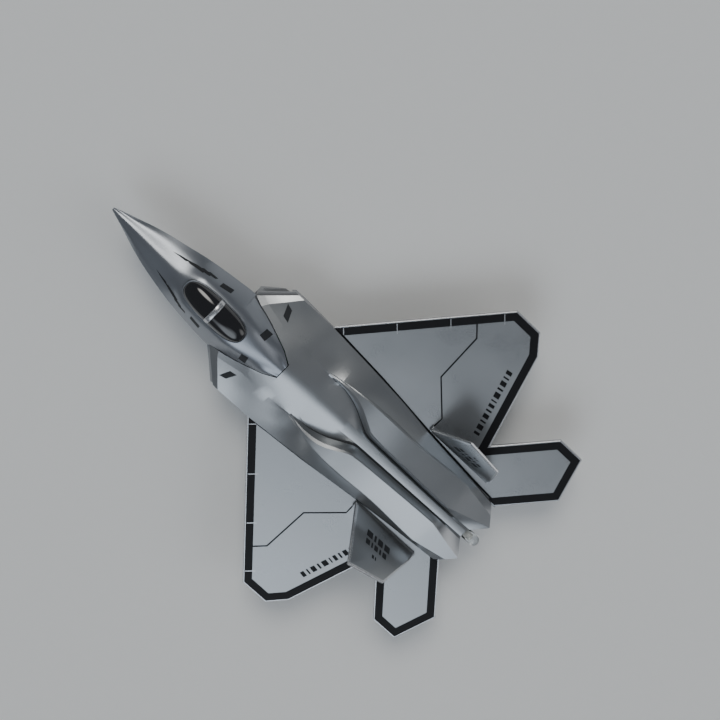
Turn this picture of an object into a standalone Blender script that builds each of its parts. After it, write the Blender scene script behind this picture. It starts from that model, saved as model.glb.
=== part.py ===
"""A pull-back toy jet with two canted fins: die-cast upper body, flat wing plate, plastic nose and belly.

Sizes are in millimetres along X (forward), Y (port) and Z (up), measured from the station where the wing's
leading edge meets the body, on the top face of the wing plate. One empty carries that station frame to its
place, so that the toy stands on its wheels over the world origin.
"""

import math

import bmesh
import bpy
from mathutils import Matrix, Vector

MM = 0.001

# Overall sizes
WING_SPAN = 135.6
TAIL_SPAN = 92.6
NOSE_REACH = 79.5
BODY_WIDTH = 42.8
GROUND_DEPTH = 16.5
PLATE_THICKNESS = 1.5

# Wing and tailplane outline
LEADING_SWEEP = math.radians(41.1)
TRAILING_SWEEP = math.radians(17.6)
WING_TIP_CHORD = 10.9
WING_TIP_CUT = 6.3
NOTCH_Y = 28.1
TAIL_TIP_CHORD = 10.4
TAIL_HEEL_Y = 30.4
TAIL_ROOT_Y = 13.9

# Fits
SEAM_GAP = 0.3
RUNNING_GAP = 0.3
BORE_GAP = 0.25

# Shells
METAL_WALL = 1.3
PLASTIC_WALL = 1.2
LIP_STEP = 1.4
BELLY_DEPTH = 12.0
NOSE_REAR_X = 26.3
EXHAUST_X = -82.0
EXHAUST_BOX_FRONT_X = -71.0

# Fins
FIN_ROOT_FRONT_X = -48.1
FIN_ROOT_CHORD = 28.2
FIN_ROOT_Y = 18.5
FIN_HEIGHT = 26.7
FIN_TIP_CHORD = 14.6
FIN_TIP_SETBACK = 6.8
FIN_CANT = math.radians(23.5)
FIN_THICKNESS = 1.3
FIN_TAB_LENGTH = 14.0

# Canopy push button
CANOPY_CENTRE_X = 33.05
CANOPY_LENGTH = 25.5
CANOPY_WIDTH = 9.4
CANOPY_SILL_Z = 9.4
CANOPY_SILL_RISE = 0.09
CANOPY_CROWN = 4.3
CANOPY_FLANGE = 1.1
CANOPY_TRAVEL = 0.6

# Running gear
MAIN_AXLE_X = -50.5
MAIN_WHEEL_RADIUS = 5.5
MAIN_WHEEL_WIDTH = 3.2
MAIN_WHEEL_INNER_Y = 7.4
AXLE_RADIUS = 0.8
NOSE_PAD_Z = -9.5
NOSE_WHEEL_X = 38.5
NOSE_WHEEL_RADIUS = 2.6
NOSE_WHEEL_WIDTH = 2.4
NOSE_AXLE_RADIUS = 0.6

# Pull-back motor
GEAR_MODULE = 0.4
GEAR_CLEARANCE = 0.12
PINION_TEETH = 10
IDLER_TEETH = 24
IDLER_PINION_TEETH = 8
DRUM_TEETH = 30
IDLER_DIRECTION = math.radians(60.0)
DRUM_DIRECTION = math.radians(-3.0)
MOTOR_WIDTH = 13.0
MOTOR_WALL = 1.0
MOTOR_TOP_Z = 2.6
MOTOR_BELOW_AXLE = 3.7
SHAFT_RADIUS = 0.7
ARBOR_RADIUS = 1.5

# Battery, board and speaker
CELL_RADIUS = 5.8
CELL_THICKNESS = 5.4
CELL_COUNT = 3
CELL_FRONT_X = -9.5
CONTACT_THICKNESS = 0.5
DOOR_FRONT_X = -2.6
DOOR_SCREW_X = -4.9
DOOR_WIDTH = 12.8
SPEAKER_RADIUS = 8.0
SPEAKER_HEIGHT = 3.4
SPEAKER_X = 7.0
GRILLE_PITCH = 2.2
BOARD_THICKNESS = 1.2
BOARD_Z = -2.2
BOARD_REAR_X = 1.5
BOARD_WIDTH = 12.0
SWITCH_SIZE = 6.0
SWITCH_HEIGHT = 3.3
PLUNGER_RADIUS = 1.6

# Screws
SCREW_RADIUS = 0.8
SCREW_HEAD_RADIUS = 1.7
SCREW_HEAD_HEIGHT = 1.1
BOSS_RADIUS = 2.9
FRONT_SCREW = (-2.0, 10.0)
REAR_SCREW = (-65.5, 8.5)
NOSE_SCREW_X = 19.5
FRONT_BOSS_FOOT = -BELLY_DEPTH + 0.4
REAR_BOSS_FOOT = -8.7
NOSE_BOSS_FOOT = -10.6
NOSE_TAB_LOW_Z = -4.6

# Tail lamp
LAMP_RADIUS = 2.0
LAMP_ROOT_RADIUS = 1.6
LAMP_REACH = 7.2
LAMP_STEP = 1.2
LAMP_Z = 1.0

BODY_HALF = BODY_WIDTH / 2
WING_HALF = WING_SPAN / 2
TAIL_HALF = TAIL_SPAN / 2
MAIN_AXLE_Z = -GROUND_DEPTH + MAIN_WHEEL_RADIUS
NOSE_AXLE_Z = -GROUND_DEPTH + NOSE_WHEEL_RADIUS
BELLY_FLOOR = -BELLY_DEPTH + PLASTIC_WALL
CELLS_LENGTH = CELL_COUNT * CELL_THICKNESS + (CELL_COUNT - 1) * SEAM_GAP
CELL_REAR_X = CELL_FRONT_X - CELLS_LENGTH
CELL_Z = BELLY_FLOOR + SEAM_GAP + CELL_RADIUS
DOOR_REAR_X = CELL_REAR_X - 2.7
BOARD_TOP_Z = BOARD_Z + BOARD_THICKNESS
BODY_SCREWS = [(*FRONT_SCREW, FRONT_BOSS_FOOT), (*REAR_SCREW, REAR_BOSS_FOOT)]


# ---------------------------------------------------------------- scene, finishes and mesh tools

def clear_scene():
    for obj in list(bpy.data.objects):
        bpy.data.objects.remove(obj, do_unlink=True)


def make_finish(name, colour, roughness, metallic=0.0):
    finish = bpy.data.materials.new(name)
    finish.use_nodes = True
    shader = finish.node_tree.nodes["Principled BSDF"]
    shader.inputs["Base Color"].default_value = (*colour, 1.0)
    shader.inputs["Roughness"].default_value = roughness
    shader.inputs["Metallic"].default_value = metallic
    return finish


def plan_outline():
    """Port corners of the wing plate, from the wing's leading-edge root round to the tail root."""
    lead, trail = math.tan(LEADING_SWEEP), math.tan(TRAILING_SWEEP)
    tip_x = -lead * (WING_HALF - BODY_HALF)
    cut_x = tip_x - WING_TIP_CHORD
    cut_y = WING_HALF - WING_TIP_CUT
    heel_x = cut_x - lead * WING_TIP_CUT
    notch_x = heel_x - trail * (cut_y - NOTCH_Y)
    tail_x = notch_x - lead * (TAIL_HALF - NOTCH_Y)
    tail_rear_x = tail_x - TAIL_TIP_CHORD
    tail_heel_x = tail_rear_x - trail * (TAIL_HALF - TAIL_HEEL_Y)
    root_y = share(TAIL_ROOT_Y)
    root_x = tail_heel_x + lead * (TAIL_HEEL_Y - root_y)
    return [
        (0.0, BODY_HALF), (tip_x, WING_HALF), (cut_x, WING_HALF), (heel_x, cut_y), (notch_x, NOTCH_Y),
        (tail_x, TAIL_HALF), (tail_rear_x, TAIL_HALF), (tail_heel_x, TAIL_HEEL_Y), (root_x, root_y),
    ]


def make_station_frame():
    """The empty that stands the toy over the world origin, on its wheels."""
    tail_x = min(x for x, _ in plan_outline())
    frame = bpy.data.objects.new("station_frame", None)
    frame.location = Vector((-(NOSE_REACH + tail_x) / 2, 0.0, GROUND_DEPTH)) * MM
    bpy.context.collection.objects.link(frame)
    return frame


def object_from(name, build, finish=None, at=(0.0, 0.0, 0.0)):
    """An object under the station frame, from a bmesh made in millimetres round the place `at`."""
    bmesh.ops.triangulate(build, faces=build.faces)
    bmesh.ops.recalc_face_normals(build, faces=build.faces)
    mesh = bpy.data.meshes.new(name)
    build.to_mesh(mesh)
    build.free()
    mesh.transform(Matrix.Scale(MM, 4))
    obj = bpy.data.objects.new(name, mesh)
    obj.parent = STATION
    obj.location = Vector(at) * MM
    bpy.context.collection.objects.link(obj)
    if finish is not None:
        mesh.materials.append(finish)
    return obj


def closed_mesh(vertices, faces):
    build = bmesh.new()
    points = [build.verts.new(v) for v in vertices]
    for face in faces:
        build.faces.new([points[i] for i in face])
    return build


def ring_skin(rings):
    """Quads between neighbouring rings, with a face on each end."""
    count = len(rings[0])
    vertices = [point for ring in rings for point in ring]
    faces = [list(range(count))[::-1], list(range(len(vertices) - count, len(vertices)))]
    for r in range(len(rings) - 1):
        for i in range(count):
            j = (i + 1) % count
            faces.append([r * count + i, r * count + j, (r + 1) * count + j, (r + 1) * count + i])
    return closed_mesh(vertices, faces)


def prism(outline, low, high, axis="Z"):
    """An outline in the plane across `axis`, pulled from low to high along it."""
    place = {
        "X": lambda a, b, h: (h, a, b),
        "Y": lambda a, b, h: (a, h, b),
        "Z": lambda a, b, h: (a, b, h),
    }[axis]
    return ring_skin([[place(a, b, h) for a, b in outline] for h in (low, high)])


def block(low, high):
    plan = [(low[0], low[1]), (high[0], low[1]), (high[0], high[1]), (low[0], high[1])]
    return prism(plan, low[2], high[2])


def circle(radius, sides=24, centre=(0.0, 0.0)):
    turn = 2 * math.pi / sides
    return [(centre[0] + radius * math.cos(i * turn), centre[1] + radius * math.sin(i * turn))
            for i in range(sides)]


def rod(radius, low, high, axis="Z", centre=(0.0, 0.0), sides=24):
    return prism(circle(radius, sides, centre), low, high, axis)


def turned(profile, axis="Y", sides=28):
    """A solid turned round `axis` from (place along the axis, radius) pairs; end radii stay above zero."""
    rings = []
    for along, radius in profile:
        ring = [(along, *p) if axis == "X" else (p[0], along, p[1]) for p in circle(radius, sides)]
        rings.append(ring)
    return ring_skin(rings)


def tube_ring(outer, inner, low, high, sides=28):
    """A plain ring round Y, as a closed band of four faces a side."""
    corners = [(outer, low), (outer, high), (inner, high), (inner, low)]
    vertices = []
    for i in range(sides):
        angle = 2 * math.pi * i / sides
        vertices += [(r * math.cos(angle), y, r * math.sin(angle)) for r, y in corners]
    faces = []
    for i in range(sides):
        a, b = 4 * i, 4 * ((i + 1) % sides)
        for k in range(4):
            n = (k + 1) % 4
            faces.append([a + k, a + n, b + n, b + k])
    return closed_mesh(vertices, faces)


def angle_of(ring, i):
    """The angle of a ring's point round Y, counted on past a full turn."""
    x, _, z = ring[i % len(ring)].co
    return math.atan2(z, x) + 2 * math.pi * (i // len(ring))


def zipped_skin(layers, bored=False):
    """A solid round Y from (y, outline) layers, whose outlines may differ in their number of points.

    A bored solid joins its last layer back to its first, and any other is closed with a face at each end.
    """
    build = bmesh.new()
    rings = []
    for y, outline in layers:
        in_order = sorted(outline, key=lambda p: math.atan2(p[1], p[0]))
        rings.append([build.verts.new((x, y, z)) for x, z in in_order])
    for low, high in zip(rings, rings[1:] + rings[:1] if bored else rings[1:]):
        a = b = 0
        while a < len(low) or b < len(high):
            here, there = low[a % len(low)], high[b % len(high)]
            if b == len(high) or (a < len(low) and angle_of(low, a + 1) <= angle_of(high, b + 1)):
                a += 1
                build.faces.new((here, low[a % len(low)], there))
            else:
                b += 1
                build.faces.new((here, high[b % len(high)], there))
    if not bored:
        build.faces.new(rings[0])
        build.faces.new(rings[-1])
    return build


def combine(target, build, operation, at=(0.0, 0.0, 0.0)):
    """Cuts or joins a bmesh tool into the target, and leaves only the result."""
    tool = object_from("tool", build, at=at)
    bpy.context.view_layer.update()
    boolean = target.modifiers.new(operation.lower(), "BOOLEAN")
    boolean.operation = operation
    boolean.object = tool
    boolean.solver = "EXACT"
    shape = bpy.data.meshes.new_from_object(target.evaluated_get(bpy.context.evaluated_depsgraph_get()))
    target.modifiers.remove(boolean)
    target.data = shape
    bpy.data.objects.remove(tool, do_unlink=True)
    return target


def cut(target, build, at=(0.0, 0.0, 0.0)):
    return combine(target, build, "DIFFERENCE", at)


def join(target, build, at=(0.0, 0.0, 0.0)):
    return combine(target, build, "UNION", at)


def round_shading(*objects):
    for obj in objects:
        obj.data.shade_smooth()
        obj.data.set_sharp_from_angle(angle=math.radians(35))


def slab(rows):
    """A closed skin between an upper and a lower sheet.

    Each row runs from the port edge to the centre line as (x, y, upper z, lower z), and is mirrored.
    """
    full = [row + [(x, -y, up, low) for x, y, up, low in row[-2::-1]] for row in rows]
    across = len(full[0])
    upper = [(x, y, up) for row in full for x, y, up, _ in row]
    lower = [(x, y, low) for row in full for x, y, _, low in row]
    base = len(upper)
    faces = []
    for r in range(len(full) - 1):
        for c in range(across - 1):
            a = r * across + c
            quad = [a, a + 1, a + across + 1, a + across]
            faces += [quad, [base + i for i in quad[::-1]]]
    rim = list(range(across)) + [r * across + across - 1 for r in range(1, len(full))]
    rim += [(len(full) - 1) * across + c for c in range(across - 2, -1, -1)]
    rim += [r * across for r in range(len(full) - 2, 0, -1)]
    for a, b in zip(rim, rim[1:] + rim[:1]):
        faces.append([a, base + a, base + b, b])
    build = closed_mesh(upper + lower, faces)
    bmesh.ops.remove_doubles(build, verts=build.verts, dist=1e-4)
    return build


# ---------------------------------------------------------------- wing plate and fins

def build_wing_plate():
    port = plan_outline()
    outline = port + [(x, -y) for x, y in port[::-1]]
    plate = object_from("wing_plate", prism(outline, -PLATE_THICKNESS, 0.0), SATIN_SILVER)
    through = (-PLATE_THICKNESS - 1, 1.0)
    motor_bay = [(MOTOR_REAR_X - 2.0, 8.0), (DOOR_SCREW_X, 8.0)]
    outline = [(x, -y) for x, y in motor_bay] + motor_bay[::-1]
    cut(plate, prism(outline, *through))
    exhaust_bay = share(TAIL_ROOT_Y) - 0.7
    bay_front = EXHAUST_BOX_FRONT_X + 1.5
    cut(plate, block((-140.0, -exhaust_bay, through[0]), (bay_front, exhaust_bay, through[1])))
    for side in (1, -1):
        for x, y, _ in BODY_SCREWS:
            cut(plate, rod(SCREW_RADIUS + RUNNING_GAP, *through, centre=(x, side * y), sides=16))
        cut(plate, fin_tab(side, RUNNING_GAP))
    return plate


def fin_tab(side, spread=0.0):
    """The tab under a fin's root, grown by a clearance when it cuts its slot."""
    middle = FIN_ROOT_FRONT_X - FIN_ROOT_CHORD / 2
    half = FIN_TAB_LENGTH / 2 + spread
    width = FIN_THICKNESS / 2 + spread
    centre = side * share(FIN_ROOT_Y)
    bottom = -PLATE_THICKNESS - 1.0 if spread else -PLATE_THICKNESS + 0.2
    return block((middle - half, centre - width, bottom), (middle + half, centre + width, 1.2))


def build_fin(name, side):
    """A five-sided blade leaning outwards, standing on a foot strip."""
    rear_root = FIN_ROOT_FRONT_X - FIN_ROOT_CHORD
    tip_front = FIN_ROOT_FRONT_X - FIN_TIP_SETBACK
    tip_rear = tip_front - FIN_TIP_CHORD
    outline = [
        (FIN_ROOT_FRONT_X, 0.0), (tip_front, FIN_HEIGHT), (tip_rear, FIN_HEIGHT * 0.83),
        (rear_root + 0.8, FIN_HEIGHT * 0.15), (rear_root, 0.0),
    ]
    blade = prism(outline, -FIN_THICKNESS / 2, FIN_THICKNESS / 2, "Y")
    lean = Matrix.Rotation(-side * FIN_CANT, 4, "X")
    bmesh.ops.transform(blade, matrix=lean, verts=blade.verts)
    bmesh.ops.translate(blade, vec=(0.0, side * share(FIN_ROOT_Y), SEAM_GAP + 0.6), verts=blade.verts)
    fin = object_from(name, blade, SATIN_SILVER)
    inner = share(FIN_ROOT_Y) - FIN_THICKNESS / 2
    outer = share(FIN_ROOT_Y) + FIN_THICKNESS / 2 + 0.9
    foot_y = sorted((side * inner, side * outer))
    join(fin, block((rear_root, foot_y[0], SEAM_GAP), (FIN_ROOT_FRONT_X, foot_y[1], SEAM_GAP + 1.1)))
    return join(fin, fin_tab(side))


# ---------------------------------------------------------------- upper body

def share(value):
    """Scales a half-width of the body with the intake width that it belongs to."""
    return value * BODY_HALF / 21.4


def deck_rows():
    """Rows of the upper body from the intake lip to the nozzle ends: edge, shoulder, nacelle and spine."""
    rows = [
        [(15.7, 21.4, 0.7), (18.7, 18.5, 0.9), (21.6, 15.8, 1.0), (24.0, 13.5, 1.1), (25.9, 11.7, 1.2),
         (25.9, 6.0, 1.4), (25.9, 0.0, 1.6)],
        [(15.1, 21.4, 0.9), (17.6, 18.4, 1.4), (19.9, 15.5, 1.9), (21.6, 13.0, 2.4), (22.6, 10.7, 3.0),
         (22.6, 6.0, 4.5), (22.6, 0.0, 5.5)],
        [(12.0, 21.4, 0.9), (12.0, 17.7, 1.8), (12.0, 14.1, 2.9), (12.0, 10.6, 4.2), (12.0, 7.3, 5.6),
         (12.0, 3.0, 6.6), (12.0, 0.0, 7.0)],
        [(3.0, 21.4, 0.9), (3.0, 17.5, 2.3), (3.0, 14.0, 3.6), (3.0, 10.5, 4.9), (3.0, 7.0, 6.2),
         (3.0, 2.8, 7.5), (3.0, 0.0, 7.8)],
        [(-9.4, 20.7, 1.0), (-9.4, 16.0, 3.0), (-9.4, 10.2, 5.1), (-9.4, 9.7, 5.3), (-9.4, 9.2, 5.3),
         (-9.4, 2.5, 6.8), (-9.4, 0.0, 7.0)],
        [(-16.0, 20.3, 1.0), (-16.0, 15.4, 3.9), (-16.0, 11.0, 7.4), (-16.0, 10.3, 7.4), (-16.0, 9.2, 4.5),
         (-16.0, 2.4, 6.1), (-16.0, 0.0, 6.3)],
        [(-20.0, 20.0, 1.0), (-20.0, 15.4, 4.4), (-20.0, 11.9, 8.5), (-20.0, 10.4, 8.5), (-20.0, 8.6, 4.3),
         (-20.0, 2.3, 5.8), (-20.0, 0.0, 6.0)],
        [(-24.0, 19.7, 1.0), (-24.0, 15.5, 4.6), (-24.0, 12.4, 8.8), (-24.0, 9.6, 8.8), (-24.0, 7.3, 4.4),
         (-24.0, 2.2, 5.6), (-24.0, 0.0, 5.8)],
        [(-29.0, 19.3, 1.0), (-29.0, 15.4, 4.6), (-29.0, 12.7, 8.7), (-29.0, 7.4, 8.8), (-29.0, 4.8, 4.5),
         (-29.0, 2.0, 5.4), (-29.0, 0.0, 5.6)],
        [(-34.0, 18.9, 1.1), (-34.0, 15.3, 4.5), (-34.0, 12.7, 8.4), (-34.0, 5.2, 8.7), (-34.0, 2.7, 4.5),
         (-34.0, 1.9, 5.4), (-34.0, 0.0, 5.5)],
        [(-48.0, 17.2, 1.3), (-48.0, 14.8, 4.1), (-48.0, 12.4, 7.3), (-48.0, 4.5, 8.2), (-48.0, 2.5, 4.4),
         (-48.0, 1.8, 5.3), (-48.0, 0.0, 5.4)],
        [(-71.0, 15.3, 2.2), (-71.0, 14.5, 3.7), (-71.0, 13.4, 5.4), (-71.0, 4.0, 7.1), (-71.0, 2.2, 4.3),
         (-71.0, 1.5, 4.9), (-71.0, 0.0, 5.0)],
        [(EXHAUST_X + 0.4, 14.2, 2.9), (EXHAUST_X - 0.8, 12.8, 3.7), (EXHAUST_X - 2.1, 11.2, 4.2),
         (EXHAUST_X - 5.0, 7.6, 4.2), (EXHAUST_X - 0.7, 2.3, 4.0), (EXHAUST_X, 1.4, 4.1),
         (EXHAUST_X, 0.0, 4.2)],
    ]
    return [[(x, share(y), z) for x, y, z in row] for row in rows]


def parting_outline(spread):
    """Plan of the nose section's tongue over the body: port points from the front to its blunt rear end."""
    line = [(28.0, 11.6), (24.0, 10.6), (20.0, 9.7), (16.0, 8.5), (11.5, 6.9), (7.0, 5.2), (3.0, 2.7)]
    port = [(x, share(y) + spread) for x, y in line]
    port[-1] = (port[-1][0] - spread, port[-1][1])
    port[0] = (NOSE_REAR_X + 6.0, port[0][1])
    return port + [(x, -y) for x, y in port[::-1]]


def build_upper_body():
    rows = deck_rows()
    body = object_from("upper_body", slab([[(*p, SEAM_GAP) for p in row] for row in rows]), DIE_CAST)
    inner = []
    for i, row in enumerate(rows):
        back = -METAL_WALL * 2 if i == 0 else 2 * METAL_WALL if i == len(rows) - 1 else 0.0
        floor = [min(z for _, _, z in row[max(c - 1, 0):c + 2]) - METAL_WALL for c in range(len(row))]
        edge = row[0][1] - METAL_WALL
        inner.append([(x + back, min(y, edge - 0.1 * c) if c < 2 else y, floor[c], -2.0)
                      for c, (x, y, _) in enumerate(row)])
    cut(body, slab(inner))
    cut(body, prism(parting_outline(SEAM_GAP), -4.0, 30.0))
    for side in (1, -1):
        for (x, y, _), roof in zip(BODY_SCREWS, (3.4, 5.2)):
            join(body, rod(BOSS_RADIUS, SEAM_GAP, roof, centre=(x, side * y), sides=16))
            cut(body, rod(SCREW_RADIUS + BORE_GAP, -1.0, roof - 0.8, centre=(x, side * y), sides=12))
        cut(body, exhaust_box(side, SEAM_GAP, -100.0))
    return cut(body, lamp_hole())


# ---------------------------------------------------------------- nose section

def nose_stations():
    """x, chine half-width, chine z, ridge z, shoulder half-width, shoulder z, keel z; the tip comes last."""
    tip = NOSE_REACH
    return [
        (NOSE_REAR_X, 12.0, 1.9, 10.9, 5.2, 10.2, -10.5),
        (34.0, 11.4, 2.0, 10.0, 5.2, 9.5, -9.5),
        (42.5, 10.4, 2.0, 9.0, 4.8, 8.6, -9.5),
        (46.5, 9.8, 2.0, 7.6, 3.2, 7.2, -8.9),
        (50.0, 9.1, 2.0, 6.5, 2.3, 6.0, -8.1),
        (tip - 24.5, 8.0, 1.8, 5.2, 2.0, 4.7, -6.9),
        (tip - 19.5, 6.9, 1.2, 4.0, 1.8, 3.5, -5.8),
        (tip - 13.5, 5.2, 0.4, 2.6, 1.5, 2.2, -4.4),
        (tip - 7.5, 3.1, -0.5, 1.1, 1.0, 0.8, -3.0),
        (tip - 2.5, 1.4, -1.1, -0.1, 0.5, -0.3, -2.1),
        (tip, 0.4, -1.35, -1.0, 0.15, -1.05, -1.7),
    ]


def nose_ring(station, inset=0.0):
    x, wide, chine, ridge, shoulder, shoulder_z, keel = station
    half = [
        (0.0, ridge - inset), (shoulder - 0.4 * inset, shoulder_z - inset), (wide - 1.6 * inset, chine),
        (0.86 * wide - inset, chine - 0.5 * (chine - keel)), (0.42 * wide - 0.5 * inset, keel + inset),
        (0.0, keel + inset),
    ]
    return [(x, y, z) for y, z in half] + [(x, -y, z) for y, z in half[-2:0:-1]]


def tongue_rows():
    """The nose section's tongue: x, parting half-width and z, shoulder half-width and z, ridge z."""
    line = [
        (29.5, 11.3, 2.6, 5.2, 9.9, 10.5), (24.0, 10.6, 3.2, 5.1, 10.3, 11.1),
        (20.0, 9.7, 3.9, 4.6, 10.3, 11.0), (16.0, 8.5, 4.8, 3.9, 9.7, 10.4),
        (11.5, 6.9, 5.8, 3.0, 9.0, 9.6), (7.0, 5.2, 6.8, 2.2, 8.3, 8.8), (3.0, 2.7, 7.6, 1.3, 7.9, 8.0),
    ]
    return [[(x, share(yp), zp), (x, share((yp + ys) / 2), (zp + zs) / 2), (x, share(ys), zs), (x, 0.0, zr)]
            for x, yp, zp, ys, zs, zr in line]


def canopy_outline(spread, steps=24):
    """The canopy's plan, a rounded oval whose ends are blunter than an ellipse's."""
    blunt = 2 / 2.7
    points = []
    for i in range(steps):
        angle = 2 * math.pi * (i + 0.5) / steps
        c, s = math.cos(angle), math.sin(angle)
        points.append((
            CANOPY_CENTRE_X + (CANOPY_LENGTH / 2 + spread) * math.copysign(abs(c) ** blunt, c),
            (CANOPY_WIDTH / 2 + spread) * math.copysign(abs(s) ** blunt, s),
        ))
    return points


def sill_z(x):
    return CANOPY_SILL_Z - CANOPY_SILL_RISE * (x - CANOPY_CENTRE_X)


def build_nose_section():
    stations = nose_stations()
    nose = object_from("nose_section", ring_skin([nose_ring(s) for s in stations]), PLASTIC_SILVER)
    join(nose, slab([[(*p, p[2] - 1.8) for p in row] for row in tongue_rows()]))
    hollow = [nose_ring((NOSE_REAR_X - 4.0, *stations[0][1:]), PLASTIC_WALL)]
    hollow += [nose_ring(s, PLASTIC_WALL) for s in stations[:7]]
    cut(nose, ring_skin(hollow))
    under = [[(x, max(y - PLASTIC_WALL, 0.0), z - 1.5, -1.0) for x, y, z in row] for row in tongue_rows()[:3]]
    cut(nose, slab(under))
    cut(nose, prism(canopy_outline(RUNNING_GAP), 2.0, 30.0))
    cut(nose, prism(canopy_outline(CANOPY_FLANGE + RUNNING_GAP), 2.0, sill_z(CANOPY_CENTRE_X) - 2.6))
    tab_top_z = NOSE_TAB_LOW_Z + 2.0
    join(nose, block((NOSE_SCREW_X - 3.5, -5.0, NOSE_TAB_LOW_Z), (NOSE_REAR_X + 6.0, 5.0, tab_top_z)))
    join(nose, block((NOSE_REAR_X + 4.0, -5.0, -10.0), (NOSE_REAR_X + 6.0, 5.0, tab_top_z)))
    cut(nose, rod(SCREW_RADIUS + BORE_GAP, NOSE_TAB_LOW_Z - 1, tab_top_z + 1, centre=(NOSE_SCREW_X, 0.0),
                  sides=12))
    join(nose, rod(2.9, -9.4, -5.0, centre=(NOSE_WHEEL_X, 0.0), sides=16))
    return cut(nose, rod(1.5 + RUNNING_GAP, -11.0, -5.9, centre=(NOSE_WHEEL_X, 0.0), sides=16))


def build_canopy():
    """A glossy dome on a skirt, with a flange below the deck that keeps it in the nose section."""
    layers = []
    flange_z = sill_z(CANOPY_CENTRE_X) - 2.6 - RUNNING_GAP
    for spread, z in ((CANOPY_FLANGE, flange_z - 0.8), (CANOPY_FLANGE, flange_z), (0.0, flange_z)):
        layers.append([(x, y, z) for x, y in canopy_outline(spread)])
    steps = 5
    for k in range(steps + 1):
        rise = math.radians(82) * k / steps
        shrink = math.cos(rise)
        layers.append([
            (CANOPY_CENTRE_X - 2.0 * math.sin(rise) + (x - CANOPY_CENTRE_X) * shrink, y * shrink,
             sill_z(x) * shrink + (sill_z(CANOPY_CENTRE_X) - 0.4) * (1 - shrink) + CANOPY_CROWN * math.sin(rise))
            for x, y in canopy_outline(0.0)
        ])
    canopy = object_from("canopy_button", ring_skin(layers), GLOSS_BLACK)
    stem_low = BOARD_TOP_Z + SEAM_GAP + SWITCH_HEIGHT + 1.2 + SEAM_GAP
    join(canopy, rod(1.8, stem_low, flange_z, centre=(CANOPY_CENTRE_X, 0.0), sides=16))
    round_shading(canopy)
    return canopy


# ---------------------------------------------------------------- lower body

def belly_rows():
    """Rows of the lower body, each from the edge to the keel; the intake lip is swept like the one above."""
    lip = LIP_STEP
    rows = [
        [(15.7 + lip, 21.2, -4.0), (20.1 + lip, 17.0, -8.0), (24.8 + lip, 12.7, -9.6), (26.0, 12.3, -9.8),
         (26.0, 6.0, -10.5), (26.0, 0.0, -10.5)],
        [(12.0, 21.2, -4.2), (12.0, 17.0, -8.8), (12.0, 12.8, -11.6), (12.0, 12.3, -11.8),
         (12.0, 6.0, -BELLY_DEPTH), (12.0, 0.0, -BELLY_DEPTH)],
        [(-10.0, 20.3, -4.2), (-10.0, 16.4, -9.0), (-10.0, 12.9, -11.7), (-10.0, 12.3, -BELLY_DEPTH),
         (-10.0, 6.0, -BELLY_DEPTH), (-10.0, 0.0, -BELLY_DEPTH)],
        [(-58.0, 16.0, -3.8), (-58.0, 14.6, -8.6), (-58.0, 12.9, -11.5), (-58.0, 12.3, -BELLY_DEPTH),
         (-58.0, 6.0, -BELLY_DEPTH), (-58.0, 0.0, -BELLY_DEPTH)],
        [(-76.0, 14.4, -3.4), (-76.0, 13.6, -4.9), (-76.0, 12.6, -5.7), (-76.0, 11.6, -6.0),
         (-76.0, 6.0, -6.2), (-76.0, 0.0, -6.2)],
        [(EXHAUST_X + 1.4, 13.9, -3.0), (EXHAUST_X, 12.3, -3.8), (EXHAUST_X - 2.0, 9.9, -4.4),
         (EXHAUST_X - 4.0, 7.6, -4.6), (EXHAUST_X + 0.8, 1.8, -4.6), (EXHAUST_X + 1.0, 0.0, -4.6)],
    ]
    return [[(x, share(y), z) for x, y, z in row] for row in rows]


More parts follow.
